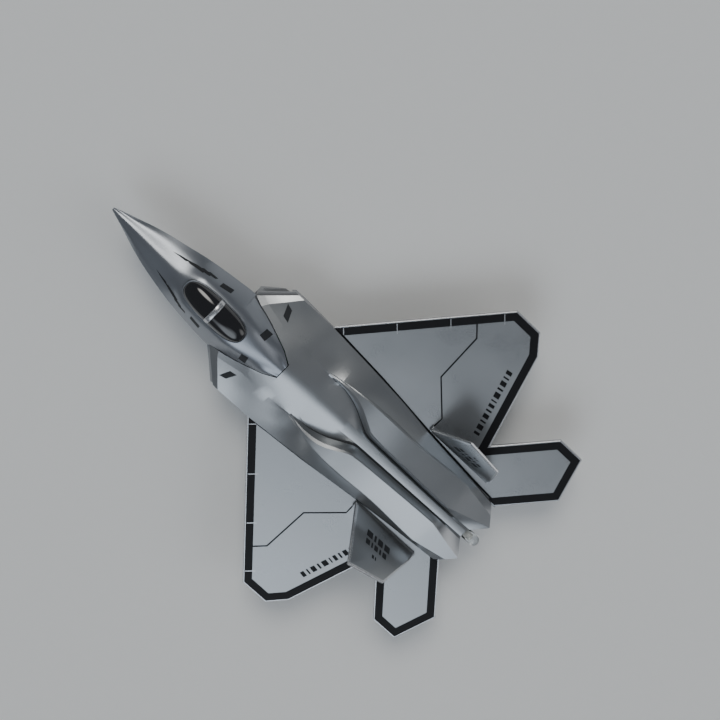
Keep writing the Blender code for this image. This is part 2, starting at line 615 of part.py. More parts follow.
def build_lower_body():
    rows = belly_rows()
    body = object_from("lower_body", slab([[(x, y, -SEAM_GAP, z) for x, y, z in row] for row in rows]),
                       PLASTIC_GREY)
    tray = rows[1:]
    tray = [[(8.0, y, z) for _, y, z in tray[0]]] + tray[1:]
    inner = []
    for i, row in enumerate(tray):
        back = 2 * PLASTIC_WALL if i == len(tray) - 1 else 0.0
        keep = 1 - PLASTIC_WALL / row[0][1]
        inner.append([(x + back, y * keep, 5.0, z + PLASTIC_WALL) for x, y, z in row])
    cut(body, slab(inner))
    cut(body, block((6.2, -share(11.0), BELLY_FLOOR + 1.6), (30.0, share(11.0), 5.0)))
    cut(body, block((6.2, -9.4, BELLY_FLOOR), (15.6, 9.4, 5.0)))
    cut(body, block((-140.0, -40.0, -PLATE_THICKNESS - SEAM_GAP), (SEAM_GAP, 40.0, 5.0)))
    for side in (1, -1):
        cut(body, intake_mouth(side))
        for x, y, foot in BODY_SCREWS:
            join(body, rod(BOSS_RADIUS, foot, -PLATE_THICKNESS - SEAM_GAP, centre=(x, side * y), sides=12))
            cut(body, rod(SCREW_RADIUS + RUNNING_GAP, -BELLY_DEPTH - 2, 0.0, centre=(x, side * y), sides=12))
            cut(body, rod(SCREW_HEAD_RADIUS + RUNNING_GAP, -BELLY_DEPTH - 2,
                          foot + SCREW_HEAD_HEIGHT + RUNNING_GAP, centre=(x, side * y), sides=16))
        wheel = (MAIN_WHEEL_INNER_Y - 0.6, MAIN_WHEEL_INNER_Y + MAIN_WHEEL_WIDTH + 0.6)
        reach = MAIN_WHEEL_RADIUS + 0.8
        y_range = sorted((side * wheel[0], side * wheel[1]))
        cut(body, block((MAIN_AXLE_X - reach, y_range[0], -20.0), (MAIN_AXLE_X + reach, y_range[1], -6.0)))
        cut(body, exhaust_box(side, SEAM_GAP, -100.0))
    motor = MOTOR_WIDTH / 2 + 0.4
    cut(body, block((MOTOR_REAR_X - 0.4, -motor, -20.0), (MOTOR_FRONT_X + 0.4, motor, -6.0)))
    for x in (CELL_FRONT_X + 1.4, CELL_REAR_X - 2.4):
        join(body, block((x, -7.2, BELLY_FLOOR - 0.2), (x + 1.0, 7.2, -2.6)))
    join(body, block((DOOR_SCREW_X - 1.9, -8.0, BELLY_FLOOR - 0.2), (DOOR_SCREW_X + 1.9, 8.0, -7.4)))
    cut(body, prism(door_plan(SEAM_GAP), -BELLY_DEPTH - 1.0, BELLY_FLOOR + SEAM_GAP))
    cut(body, rod(SCREW_RADIUS + BORE_GAP, -14.0, -8.0, centre=(DOOR_SCREW_X, 0.0), sides=12))
    boss_top_z = NOSE_TAB_LOW_Z - SEAM_GAP
    join(body, rod(BOSS_RADIUS, NOSE_BOSS_FOOT, boss_top_z, centre=(NOSE_SCREW_X, 0.0), sides=16))
    cut(body, rod(SCREW_RADIUS + RUNNING_GAP, -14.0, 0.0, centre=(NOSE_SCREW_X, 0.0), sides=12))
    cut(body, rod(SCREW_HEAD_RADIUS + RUNNING_GAP, -14.0, NOSE_BOSS_FOOT + SCREW_HEAD_HEIGHT + RUNNING_GAP,
                  centre=(NOSE_SCREW_X, 0.0), sides=16))
    for line in range(-2, 3):
        y, half = line * GRILLE_PITCH, 4.3 - 0.6 * abs(line)
        cut(body, block((SPEAKER_X - half, y - 0.55, -14.0), (SPEAKER_X + half, y + 0.55, BELLY_FLOOR + 1.9)))
    return cut(body, lamp_hole())


def intake_mouth(side):
    """A blind pocket behind the swept lip, open to the front."""
    line = [(28.0, 13.4), (20.4, 20.3), (9.5, 20.3), (11.5, 13.4)]
    forward = [(x + (4.0 if i < 2 else 3.0), share(y)) for i, (x, y) in enumerate(line)]
    outline = [(x, side * y) for x, y in forward]
    return prism(outline, -6.4, -1.7)


def door_plan(spread):
    half = DOOR_WIDTH / 2 + spread
    rear, front = DOOR_REAR_X - spread, DOOR_FRONT_X + spread
    return [(rear, -half), (front, -half), (front, half), (rear, half)]


# ---------------------------------------------------------------- exhausts and tail lamp

def exhaust_box(side, spread, rear):
    inner, outer = share(3.0) - spread, share(11.8) + spread
    y_range = sorted((side * inner, side * outer))
    return block((rear, y_range[0], -2.8 - spread), (EXHAUST_BOX_FRONT_X + spread, y_range[1], 2.6 + spread))


def build_exhaust(name, side):
    """A dark square-cut duct, closed at its front, behind each pair of nozzle petals."""
    duct = object_from(name, exhaust_box(side, 0.0, EXHAUST_X - 0.6), MATT_BLACK)
    wall = 0.8
    y_range = sorted((side * (share(3.0) + wall), side * (share(11.8) - wall)))
    bore = block((-100.0, y_range[0], -2.8 + wall), (EXHAUST_BOX_FRONT_X - wall, y_range[1], 2.6 - wall))
    return cut(duct, bore)


def lamp_hole():
    return rod(LAMP_ROOT_RADIUS + RUNNING_GAP, EXHAUST_X - 3.0, EXHAUST_X + 9.0, "X", (0.0, LAMP_Z), 12)


def build_tail_lamp():
    """A clear round-ended lamp whose narrower root passes through the rear wall."""
    step_x = EXHAUST_X - LAMP_STEP
    dome = LAMP_RADIUS
    profile = [(EXHAUST_X + 3.5, LAMP_ROOT_RADIUS), (step_x, LAMP_ROOT_RADIUS), (step_x, LAMP_RADIUS)]
    dome_start = EXHAUST_X - LAMP_REACH + dome
    for k in range(6):
        angle = math.radians(84) * k / 5
        profile.append((dome_start - dome * math.sin(angle), dome * math.cos(angle)))
    lamp = object_from("tail_lamp", turned(profile, "X", 20), CLEAR_LENS, at=(0.0, 0.0, LAMP_Z))
    round_shading(lamp)
    return lamp


# ---------------------------------------------------------------- pull-back motor

def pitch_radius(teeth):
    return GEAR_MODULE * teeth / 2


def gear_outline(teeth, phase):
    """Straight-sided teeth, with the middle of one tooth at the angle `phase`."""
    pitch = 2 * math.pi / teeth
    tip, root = pitch_radius(teeth) + 0.8 * GEAR_MODULE, pitch_radius(teeth) - 1.1 * GEAR_MODULE
    points = []
    for i in range(teeth):
        for offset, radius in ((-0.29, root), (-0.12, tip), (0.12, tip), (0.29, root)):
            angle = phase + (i + offset) * pitch
            points.append((radius * math.cos(angle), radius * math.sin(angle)))
    return points


def motor_centres():
    """The axle, idler and drum centres as (x, z), each a meshing distance from the last."""
    axle = (MAIN_AXLE_X, MAIN_AXLE_Z)
    first = pitch_radius(PINION_TEETH) + pitch_radius(IDLER_TEETH) + GEAR_CLEARANCE
    idler = (axle[0] + first * math.cos(IDLER_DIRECTION), axle[1] + first * math.sin(IDLER_DIRECTION))
    second = pitch_radius(IDLER_PINION_TEETH) + pitch_radius(DRUM_TEETH) + GEAR_CLEARANCE
    drum = (idler[0] + second * math.cos(DRUM_DIRECTION), idler[1] + second * math.sin(DRUM_DIRECTION))
    return axle, idler, drum


def gear_phases():
    """Phases that put a tooth of one gear in the middle of a gap of the other, at each mesh."""
    pinion = IDLER_DIRECTION
    idler = IDLER_DIRECTION + math.pi + math.pi / IDLER_TEETH
    idler_pinion = DRUM_DIRECTION
    drum = DRUM_DIRECTION + math.pi + math.pi / DRUM_TEETH
    return pinion, idler, idler_pinion, drum


AXLE_AT, IDLER_AT, DRUM_AT = motor_centres()
DRUM_TIP = pitch_radius(DRUM_TEETH) + 0.8 * GEAR_MODULE
MOTOR_FRONT_X = DRUM_AT[0] + DRUM_TIP + RUNNING_GAP + MOTOR_WALL
MOTOR_REAR_X = MAIN_AXLE_X - 6.5
MOTOR_LOW_Z = MAIN_AXLE_Z - MOTOR_BELOW_AXLE


def build_motor_half(name, side):
    """Half of the motor's casing: a tray with holes for the three shafts."""
    low, high = sorted((side * SEAM_GAP / 2, side * MOTOR_WIDTH / 2))
    shell = [(MOTOR_REAR_X, MOTOR_LOW_Z), (MOTOR_FRONT_X - 6.0, MOTOR_LOW_Z), (MOTOR_FRONT_X, MOTOR_LOW_Z + 3.0),
             (MOTOR_FRONT_X, MOTOR_TOP_Z), (MOTOR_REAR_X + 6.0, MOTOR_TOP_Z), (MOTOR_REAR_X, MOTOR_TOP_Z - 6.0)]
    half = object_from(name, prism(shell, low, high, "Y"), PLASTIC_BLUE)
    middle_x = (MOTOR_REAR_X + MOTOR_FRONT_X) / 2
    middle_z = (MOTOR_LOW_Z + MOTOR_TOP_Z) / 2
    inner = []
    for x, z in shell:
        inner.append((x - math.copysign(MOTOR_WALL, x - middle_x), z - math.copysign(MOTOR_WALL, z - middle_z)))
    floor = MOTOR_WIDTH / 2 - MOTOR_WALL
    cut(half, prism(inner, *sorted((-side * 1.0, side * floor)), "Y"))
    for centre, radius in ((AXLE_AT, AXLE_RADIUS), (IDLER_AT, SHAFT_RADIUS), (DRUM_AT, SHAFT_RADIUS)):
        cut(half, rod(radius + RUNNING_GAP, -20.0, 20.0, "Y", centre, 16))
    return half


def build_motor_gears():
    pinion_phase, idler_phase, idler_pinion_phase, drum_phase = gear_phases()
    reach = MOTOR_WIDTH / 2 - 0.2
    toothed, bore = gear_outline(PINION_TEETH, pinion_phase), circle(AXLE_RADIUS + BORE_GAP, 20)
    layers = [(1.8, toothed), (4.2, toothed), (4.2, bore), (1.8, bore)]
    object_from("axle_pinion", zipped_skin(layers, bored=True),
                GEAR_WHITE, at=(AXLE_AT[0], 0.0, AXLE_AT[1]))
    shaft, arbor = circle(SHAFT_RADIUS, 20), circle(ARBOR_RADIUS, 20)
    large, small = gear_outline(IDLER_TEETH, idler_phase), gear_outline(IDLER_PINION_TEETH, idler_pinion_phase)
    object_from("idler_gear", zipped_skin([
        (-reach, shaft), (-1.0, shaft), (-1.0, small), (2.2, small), (2.2, large), (3.8, large), (3.8, shaft),
        (reach, shaft)]), GEAR_WHITE, at=(IDLER_AT[0], 0.0, IDLER_AT[1]))
    toothed = gear_outline(DRUM_TEETH, drum_phase)
    object_from("spring_drum", zipped_skin([
        (-reach, shaft), (-5.2, shaft), (-5.2, arbor), (-0.7, arbor), (-0.7, toothed), (0.8, toothed),
        (0.8, shaft), (reach, shaft)]), GEAR_WHITE, at=(DRUM_AT[0], 0.0, DRUM_AT[1]))


def build_mainspring():
    """A flat steel strip wound outwards in evenly spaced turns, between the arbor and the casing."""
    turns, per_turn, strip = 4.5, 18, 0.3
    inner_radius, outer_radius = 2.0, pitch_radius(DRUM_TEETH) - 0.7
    low, high = -5.0, -1.3
    steps = int(turns * per_turn)
    rings = []
    for i in range(steps + 1):
        angle = 2 * math.pi * turns * i / steps
        radius = inner_radius + (outer_radius - inner_radius) * i / steps
        rings.append([((radius + dr) * math.cos(angle), y, (radius + dr) * math.sin(angle))
                      for dr, y in ((0, low), (strip, low), (strip, high), (0, high))])
    return object_from("mainspring", ring_skin(rings), SPRING_STEEL, at=(DRUM_AT[0], 0.0, DRUM_AT[1]))


# ---------------------------------------------------------------- axles and wheels

def build_rear_axle():
    reach = MAIN_WHEEL_INNER_Y + MAIN_WHEEL_WIDTH - 0.3
    place = (AXLE_AT[0], 0.0, AXLE_AT[1])
    return object_from("rear_axle", rod(AXLE_RADIUS, -reach, reach, "Y", sides=12), SPRING_STEEL, at=place)


def build_main_wheel(side, name_side):
    """A hub with a blind bore on its inner face, and a tyre round it."""
    inner, outer = MAIN_WHEEL_INNER_Y, MAIN_WHEEL_INNER_Y + MAIN_WHEEL_WIDTH
    place = (AXLE_AT[0], 0.0, AXLE_AT[1])
    rim = MAIN_WHEEL_RADIUS - 1.6
    profile = [(inner - 0.4, 1.7), (inner + 0.1, 1.7), (inner + 0.1, rim), (outer, rim), (outer, rim - 0.9),
               (outer - 0.7, rim - 1.3), (outer - 0.7, 1.5), (outer + 0.2, 1.3)]
    hub = object_from(f"wheel_hub_{name_side}", turned([(side * a, r) for a, r in profile], "Y", 24),
                      WHEEL_GREY, at=place)
    bore = sorted((side * (inner - 1.0), side * (outer - 0.3 + SEAM_GAP)))
    cut(hub, rod(AXLE_RADIUS + BORE_GAP, bore[0], bore[1], "Y", sides=12), at=place)
    low, high = sorted((side * inner, side * outer))
    tyre = object_from(f"tyre_{name_side}", tube_ring(MAIN_WHEEL_RADIUS, rim + SEAM_GAP, low, high, 32),
                       RUBBER, at=place)
    round_shading(hub, tyre)


def build_nose_gear():
    place = (NOSE_WHEEL_X, 0.0, NOSE_AXLE_Z)
    half = NOSE_WHEEL_WIDTH / 2
    cheek = (half + 0.4, half + 1.5)
    top = NOSE_PAD_Z - SEAM_GAP
    leg = object_from("nose_gear_leg", block((NOSE_WHEEL_X - 3.4, -cheek[1], top - 1.4),
                                             (NOSE_WHEEL_X + 3.4, cheek[1], top)), PLASTIC_GREY)
    join(leg, rod(1.5, top - 0.6, -6.2, centre=(NOSE_WHEEL_X, 0.0), sides=16))
    for side in (1, -1):
        low, high = sorted((side * cheek[0], side * cheek[1]))
        outline = [(NOSE_WHEEL_X - 2.6, top - 0.4), (NOSE_WHEEL_X + 2.6, top - 0.4),
                   (NOSE_WHEEL_X + 1.5, NOSE_AXLE_Z - 1.5), (NOSE_WHEEL_X - 1.5, NOSE_AXLE_Z - 1.5)]
        join(leg, prism(outline, low, high, "Y"))
    cut(leg, rod(NOSE_WHEEL_RADIUS + 0.5, -cheek[0], cheek[0], "Y", (NOSE_WHEEL_X, NOSE_AXLE_Z), 24))
    cut(leg, rod(NOSE_AXLE_RADIUS + RUNNING_GAP, -9.0, 9.0, "Y", (NOSE_WHEEL_X, NOSE_AXLE_Z), 12))
    wheel = object_from("nose_wheel", turned(
        [(-half, NOSE_WHEEL_RADIUS - 0.5), (-half + 0.5, NOSE_WHEEL_RADIUS), (half - 0.5, NOSE_WHEEL_RADIUS),
         (half, NOSE_WHEEL_RADIUS - 0.5)], "Y", 28), RUBBER, at=place)
    cut(wheel, rod(NOSE_AXLE_RADIUS + BORE_GAP, -4.0, 4.0, "Y", sides=12), at=place)
    axle = object_from("nose_axle", rod(NOSE_AXLE_RADIUS, -cheek[1] - 0.2, cheek[1] + 0.2, "Y", sides=12),
                       SPRING_STEEL, at=place)
    round_shading(wheel, axle)


# ---------------------------------------------------------------- sound and light unit

def build_battery_set():
    for i in range(CELL_COUNT):
        front = CELL_FRONT_X - i * (CELL_THICKNESS + SEAM_GAP)
        profile = [(front, 4.6), (front - 0.5, 4.6), (front - 0.5, CELL_RADIUS),
                   (front - CELL_THICKNESS, CELL_RADIUS)]
        cell = object_from(f"button_cell_{i + 1}", turned(profile, "X", 24), CELL_STEEL, at=(0.0, 0.0, CELL_Z))
        round_shading(cell)
    for name, x in (("battery_contact_front", CELL_FRONT_X + SEAM_GAP),
                    ("battery_contact_rear", CELL_REAR_X - SEAM_GAP - CONTACT_THICKNESS)):
        contact = object_from(name, block((x, -3.0, -8.5), (x + CONTACT_THICKNESS, 3.0, -2.9)), BRASS)
        join(contact, block((x, -1.0, -3.2), (x + CONTACT_THICKNESS, 1.0, 0.4)))
    door = object_from("battery_door", prism(door_plan(0.0), -BELLY_DEPTH, BELLY_FLOOR), PLASTIC_GREY)
    cut(door, rod(SCREW_RADIUS + RUNNING_GAP, -14.0, -9.0, centre=(DOOR_SCREW_X, 0.0), sides=12))
    cut(door, rod(1.6 + RUNNING_GAP, -14.0, -BELLY_DEPTH + 0.8, centre=(DOOR_SCREW_X, 0.0), sides=16))
    build_screw("door_screw", DOOR_SCREW_X, 0.0, -BELLY_DEPTH + 0.05, -8.6, head_radius=1.6, head_height=0.7)


def build_speaker_and_board():
    low = BELLY_FLOOR + SEAM_GAP
    high = low + SPEAKER_HEIGHT
    profile = [(low, SPEAKER_RADIUS), (low + 0.9, SPEAKER_RADIUS), (low + 0.9, SPEAKER_RADIUS - 1.0),
               (high - 1.2, 4.6), (high, 4.6)]
    speaker = object_from("speaker", ring_skin([[(SPEAKER_X + x, y, z) for x, y in circle(r, 24)]
                                                for z, r in profile]), SPRING_STEEL)
    half = BOARD_WIDTH / 2
    front = CANOPY_CENTRE_X + SWITCH_SIZE / 2 + 2.0
    panel = block((BOARD_REAR_X, -half, BOARD_Z), (front, half, BOARD_TOP_Z))
    board = object_from("circuit_board", panel, BOARD_GREEN)
    chip = circle(3.2, 16, (BOARD_REAR_X + 9.0, 0.0))
    join(board, prism(chip, BOARD_TOP_Z - 0.2, BOARD_TOP_Z + 0.9))
    switch_low = BOARD_TOP_Z + SEAM_GAP
    size = SWITCH_SIZE / 2
    switch_box = block((CANOPY_CENTRE_X - size, -size, switch_low),
                       (CANOPY_CENTRE_X + size, size, switch_low + SWITCH_HEIGHT))
    switch = object_from("push_switch", switch_box, MATT_BLACK)
    cut(switch, rod(PLUNGER_RADIUS + RUNNING_GAP, switch_low + 1.0, 20.0, centre=(CANOPY_CENTRE_X, 0.0),
                    sides=16))
    plunger_low = switch_low + 1.0 + RUNNING_GAP + CANOPY_TRAVEL
    plunger_high = switch_low + SWITCH_HEIGHT + 1.2
    plunger = object_from("switch_plunger", rod(PLUNGER_RADIUS, plunger_low, plunger_high,
                                                centre=(CANOPY_CENTRE_X, 0.0), sides=16), GEAR_WHITE)
    round_shading(speaker, plunger)


# ---------------------------------------------------------------- screws

def build_screw(name, x, y, head_z, tip_z, head_radius=SCREW_HEAD_RADIUS, head_height=SCREW_HEAD_HEIGHT):
    """A cross-head screw driven in from below."""
    profile = [(head_z, head_radius - 0.3), (head_z + 0.3, head_radius), (head_z + head_height, head_radius),
               (head_z + head_height, SCREW_RADIUS), (tip_z - 0.6, SCREW_RADIUS), (tip_z, SCREW_RADIUS * 0.4)]
    rings = [[(x + a, y + b, z) for a, b in circle(r, 16)] for z, r in profile]
    screw = object_from(name, ring_skin(rings), SPRING_STEEL)
    for a, b in ((1.0, 0.22), (0.22, 1.0)):
        cut(screw, block((x - a, y - b, head_z - 1.0), (x + a, y + b, head_z + 0.4)))
    round_shading(screw)
    return screw


def build_body_screws():
    number = 1
    for (x, y, foot), tip in zip(BODY_SCREWS, (2.2, 4.0)):
        for side in (1, -1):
            build_screw(f"body_screw_{number}", x, side * y, foot, tip)
            number += 1
    build_screw(f"body_screw_{number}", NOSE_SCREW_X, 0.0, NOSE_BOSS_FOOT, NOSE_TAB_LOW_Z + 1.8)


# ---------------------------------------------------------------- build

clear_scene()
DIE_CAST = make_finish("die_cast_silver", (0.55, 0.57, 0.60), 0.32, 0.85)
SATIN_SILVER = make_finish("satin_silver", (0.60, 0.61, 0.63), 0.38, 0.6)
PLASTIC_SILVER = make_finish("plastic_silver", (0.50, 0.52, 0.55), 0.35, 0.5)
PLASTIC_GREY = make_finish("plastic_grey", (0.30, 0.31, 0.33), 0.5)
GLOSS_BLACK = make_finish("gloss_black", (0.01, 0.01, 0.012), 0.08)
MATT_BLACK = make_finish("matt_black", (0.02, 0.02, 0.02), 0.6)
CLEAR_LENS = make_finish("clear_lens", (0.8, 0.82, 0.82), 0.1)
PLASTIC_BLUE = make_finish("motor_blue", (0.10, 0.18, 0.45), 0.4)
GEAR_WHITE = make_finish("gear_white", (0.85, 0.84, 0.80), 0.4)
SPRING_STEEL = make_finish("spring_steel", (0.60, 0.60, 0.60), 0.3, 1.0)
CELL_STEEL = make_finish("cell_steel", (0.75, 0.74, 0.70), 0.22, 1.0)
BRASS = make_finish("brass", (0.75, 0.55, 0.25), 0.3, 1.0)
BOARD_GREEN = make_finish("board_green", (0.03, 0.22, 0.09), 0.45)
RUBBER = make_finish("rubber", (0.03, 0.03, 0.03), 0.7)
WHEEL_GREY = make_finish("wheel_grey", (0.45, 0.45, 0.46), 0.4)
STATION = make_station_frame()

build_wing_plate()
build_fin("port_fin", 1)
build_fin("starboard_fin", -1)
build_upper_body()
build_nose_section()
build_canopy()
build_lower_body()
build_exhaust("port_exhaust", 1)
build_exhaust("starboard_exhaust", -1)
build_tail_lamp()
build_motor_half("port_motor_case", 1)
build_motor_half("starboard_motor_case", -1)
build_motor_gears()
build_mainspring()
build_rear_axle()
build_main_wheel(1, "port")
build_main_wheel(-1, "starboard")
build_nose_gear()
build_battery_set()
build_speaker_and_board()
build_body_screws()
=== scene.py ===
# %% [markdown]
# # A pull-back toy jet
#
# The toy is a silver die-cast jet about 178 mm long: a metal upper body, one flat plate for wings and tail,
# two leaning fins, a plastic nose and belly, a black canopy that is also a push button, and small wheels.
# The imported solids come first. They are the fixed frame that every finer piece is fitted to.

# %% Load the frame
import math

import bmesh
import bpy
from mathutils import Matrix, Vector
from mathutils.bvhtree import BVHTree


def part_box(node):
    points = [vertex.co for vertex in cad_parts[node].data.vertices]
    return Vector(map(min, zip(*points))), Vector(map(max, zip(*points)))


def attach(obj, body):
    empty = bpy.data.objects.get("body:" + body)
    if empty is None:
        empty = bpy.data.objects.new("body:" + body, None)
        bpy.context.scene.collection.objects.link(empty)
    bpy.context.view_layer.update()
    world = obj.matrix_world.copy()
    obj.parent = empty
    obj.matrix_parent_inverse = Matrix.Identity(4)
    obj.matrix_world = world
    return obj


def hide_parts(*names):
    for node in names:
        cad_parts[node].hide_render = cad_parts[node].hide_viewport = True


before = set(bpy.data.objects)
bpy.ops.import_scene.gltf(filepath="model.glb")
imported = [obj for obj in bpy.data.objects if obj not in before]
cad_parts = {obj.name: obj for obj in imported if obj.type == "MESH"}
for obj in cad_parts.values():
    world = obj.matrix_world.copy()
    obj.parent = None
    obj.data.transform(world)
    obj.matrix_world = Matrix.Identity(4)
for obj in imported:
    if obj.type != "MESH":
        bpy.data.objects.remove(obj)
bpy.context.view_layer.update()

# %% [markdown]
# ## One origin for all pieces
#
# A jet modeller measures from the station where the wing's leading edge meets the body, on the wing's top
# face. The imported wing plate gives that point: its front edge and its top. From here every place is written
# in millimetres forward (x), to port (y) and up (z), and `at` turns it into the frame's metres.

# %% The station origin
MM = 0.001
plate_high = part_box("wing_plate")[1]
STATION = Vector((plate_high.x, 0.0, plate_high.z))


def at(x, y, z):
    return STATION + Vector((x, y, z)) * MM


print("wing root station at", [round(v, 5) for v in STATION])

# %% [markdown]
# ## Tools for meshes
#
# Most of this toy is plates, facets and turned parts, so a few small tools are enough: one that makes a
# piece from points and faces, one that skins neighbouring rings, one that turns a profile into a round
# part, one that pulls an outline up, and one that cuts a clean opening with a Boolean. Each piece is handed
# to the body that it moves with.

# %% Pieces, rings and turned parts
def object_from(name, build):
    bmesh.ops.recalc_face_normals(build, faces=build.faces)
    mesh = bpy.data.meshes.new(name)
    build.to_mesh(mesh)
    build.free()
    made = bpy.data.objects.new(name, mesh)
    bpy.context.scene.collection.objects.link(made)
    return made


def make_piece(name, build, finishes, body="airframe", smooth=True, soften=None):
    """An object from a bmesh, with its finishes, its body and an optional rounding of its edges in mm."""
    piece = object_from(name, build)
    for finish in finishes:
        piece.data.materials.append(finish)
    if smooth:
        piece.data.shade_smooth()
    if soften:
        round_edges(piece, *soften)
    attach(piece, body)
    print(f"{name}: {len(piece.data.vertices)} points, rides on {body}")
    return piece


def round_edges(piece, width, angle=25.0, segments=3):
    bevel = piece.modifiers.new("rounded edges", "BEVEL")
    bevel.width = width * MM
    bevel.segments = segments
    bevel.limit_method = "ANGLE"
    bevel.angle_limit = math.radians(angle)
    bevel.harden_normals = True
    bevel.miter_outer = "MITER_ARC"
    return bevel


def from_faces(points, faces, marks=None):
    """A bmesh from station points; marks gives a material slot for each face."""
    build = bmesh.new()
    corners = [build.verts.new(at(*p)) for p in points]
    for i, face in enumerate(faces):
        made = build.faces.new([corners[k] for k in face])
        made.material_index = marks[i] if marks else 0
    return build


def skin(rings, closed=True, capped=True, looped=False):
    """Quads between rings; closed joins each ring's ends, looped joins the last ring to the first."""
    count = len(rings[0])
    points = [p for ring in rings for p in ring]
    faces = []
    for r in range(len(rings) if looped else len(rings) - 1):
        below, above = r * count, (r + 1) % len(rings) * count
        for i in range(count if closed else count - 1):
            j = (i + 1) % count
            faces.append([below + i, below + j, above + j, above + i])
    if capped and not looped:
        faces += [list(range(count)), list(range(len(points) - count, len(points)))]
    return from_faces(points, faces)


def turned(profile, centre, axis="Y", sides=48):
    """A round part from (place along the axis, radius) pairs about a station point."""
    rings = []
    for along, radius in profile:
        ring = []
        for i in range(sides):
            a, b = (radius * f(2 * math.pi * i / sides) for f in (math.cos, math.sin))
            offset = {"X": (along, a, b), "Y": (a, along, b), "Z": (a, b, along)}[axis]
            ring.append(tuple(c + o for c, o in zip(centre, offset)))
        rings.append(ring)
    return skin(rings)


def prism(outline, low, high):
    """A plan outline pulled from one height to another."""
    return skin([[(x, y, z) for x, y in outline] for z in (low, high)])


def apply_modifiers(piece):
    bpy.context.view_layer.update()
    result = bpy.data.meshes.new_from_object(piece.evaluated_get(bpy.context.evaluated_depsgraph_get()))
    piece.modifiers.clear()
    piece.data = result


def carve(piece, build):
    """Cuts a tool from a piece and applies the cut."""
    tool = object_from("tool", build)
    boolean = piece.modifiers.new("opening", "BOOLEAN")
    boolean.operation, boolean.solver, boolean.object = "DIFFERENCE", "EXACT", tool
    apply_modifiers(piece)
    bpy.data.objects.remove(tool)


print("mesh tools ready")

# %% [markdown]
# ## The camera
#
# The toy is looked at from almost straight above, 75 degrees over the horizon, from ahead and to starboard,
# with the nose towards the upper left. A 70 mm lens at 0.47 m gives a mild perspective. Aiming along a
# direction leaves one freedom, the roll, and this camera is held upside down to the world's up.

# %% Camera
camera_place, camera_aim = at(67.3, -108.5, 455.1), at(-14.3, -19.2, 0.0)
camera_data = bpy.data.cameras.new("camera")
camera_data.lens, camera_data.sensor_width = 70.0, 36.0
camera = bpy.data.objects.new("camera", camera_data)
bpy.context.scene.collection.objects.link(camera)
camera.location = camera_place
roll = Matrix.Rotation(math.radians(-178.6), 4, "Z")
aimed = (camera_aim - camera_place).to_track_quat("-Z", "Y").to_matrix().to_4x4()
camera.rotation_euler = (aimed @ roll).to_euler()
bpy.context.scene.camera = camera
print("camera", round((camera_aim - camera_place).length, 3), "m from its aim")

# %% [markdown]
# ## Floor and light
#
# Silver paint has no colour of its own: it shows what is around it, and hard-edged lamps show up as hard
# white rectangles. So the light is painted on the sky instead, as soft patches on a dim dome. A wide cool
# patch stands to port and aft, so that the port half of every ridge is bright and the other half grey. A
# small warm patch ahead and to starboard catches the intake lips and the ridge of the nose, and a faint one
# astern lights the nozzles. Each patch is a direction, the two angles between which it fades out, and a
# colour. The floor is plain and pale, and lights the toy's belly from below.

# %% Floor and painted sky
PATCHES = (
    ("port", (-0.28, 0.56, 0.78), 12.0, 26.0, (1.60, 1.75, 1.90)),
    ("lip", (0.46, -0.47, 0.75), 7.0, 18.0, (5.2, 5.1, 4.8)),
    ("stern", (-0.75, -0.35, 0.55), 8.0, 26.0, (1.1, 1.1, 1.1)),
)
SKY_TONE = (0.15, 0.16, 0.175)
sky = bpy.data.worlds.new("studio")
bpy.context.scene.world = sky
sky.use_nodes = True
sky_nodes, sky_links = sky.node_tree.nodes, sky.node_tree.links
direction = sky_nodes.new("ShaderNodeTexCoord").outputs["Generated"]
glow = None
for name, heading, full, none, colour in PATCHES:
    dot = sky_nodes.new("ShaderNodeVectorMath")
    dot.operation = "DOT_PRODUCT"
    sky_links.new(direction, dot.inputs[0])
    dot.inputs[1].default_value = Vector(heading).normalized()
    fade = sky_nodes.new("ShaderNodeMapRange")
    fade.interpolation_type = "SMOOTHSTEP"
    sky_links.new(dot.outputs["Value"], fade.inputs["Value"])
    fade.inputs["From Min"].default_value = math.cos(math.radians(none))
    fade.inputs["From Max"].default_value = math.cos(math.radians(full))
    patch = sky_nodes.new("ShaderNodeVectorMath")
    patch.operation = "SCALE"
    patch.inputs[0].default_value = colour
    sky_links.new(fade.outputs["Result"], patch.inputs["Scale"])
    total = sky_nodes.new("ShaderNodeVectorMath")
    total.inputs[1].default_value = SKY_TONE
    if glow:
        sky_links.new(glow, total.inputs[1])
    sky_links.new(patch.outputs[0], total.inputs[0])
    glow = total.outputs[0]
sky_links.new(glow, sky_nodes["Background"].inputs["Color"])

FLOOR_HALF, FLOOR_DROP = 3.0, 0.0002
floor_build = bmesh.new()
for x, y in ((-1, -1), (1, -1), (1, 1), (-1, 1)):
    floor_build.verts.new((x * FLOOR_HALF, y * FLOOR_HALF, -FLOOR_DROP))
floor_build.faces.new(floor_build.verts)
floor = object_from("floor", floor_build)
print("floor laid, and", len(PATCHES), "patches painted on the sky")

# %% [markdown]
# ## Shader sums as plain expressions
#
# A finish is a small network of nodes. Writing each Math node by hand hides the idea, so one class stands
# for a socket: `wear * 0.5 + 0.2` adds the nodes that work it out. Colours go through Mix nodes, and every
# other node comes from one method, `add`, which sets the node's options first and its sockets next.

# %% The wire and the finish
class Wire:
    """A node's output that can stand in sums with numbers and with other wires."""

    def __init__(self, finish, socket):
        self.finish, self.socket = finish, socket

    def sum(self, operation, left, right):
        return self.finish.add("ShaderNodeMath", {"operation": operation}, {0: left, 1: right})

    def __add__(self, other):
        return self.sum("ADD", self, other)

    __radd__ = __add__

    def __sub__(self, other):
        return self.sum("SUBTRACT", self, other)

    def __rsub__(self, other):
        return self.sum("SUBTRACT", other, self)

    def __mul__(self, other):
        return self.sum("MULTIPLY", self, other)

    __rmul__ = __mul__


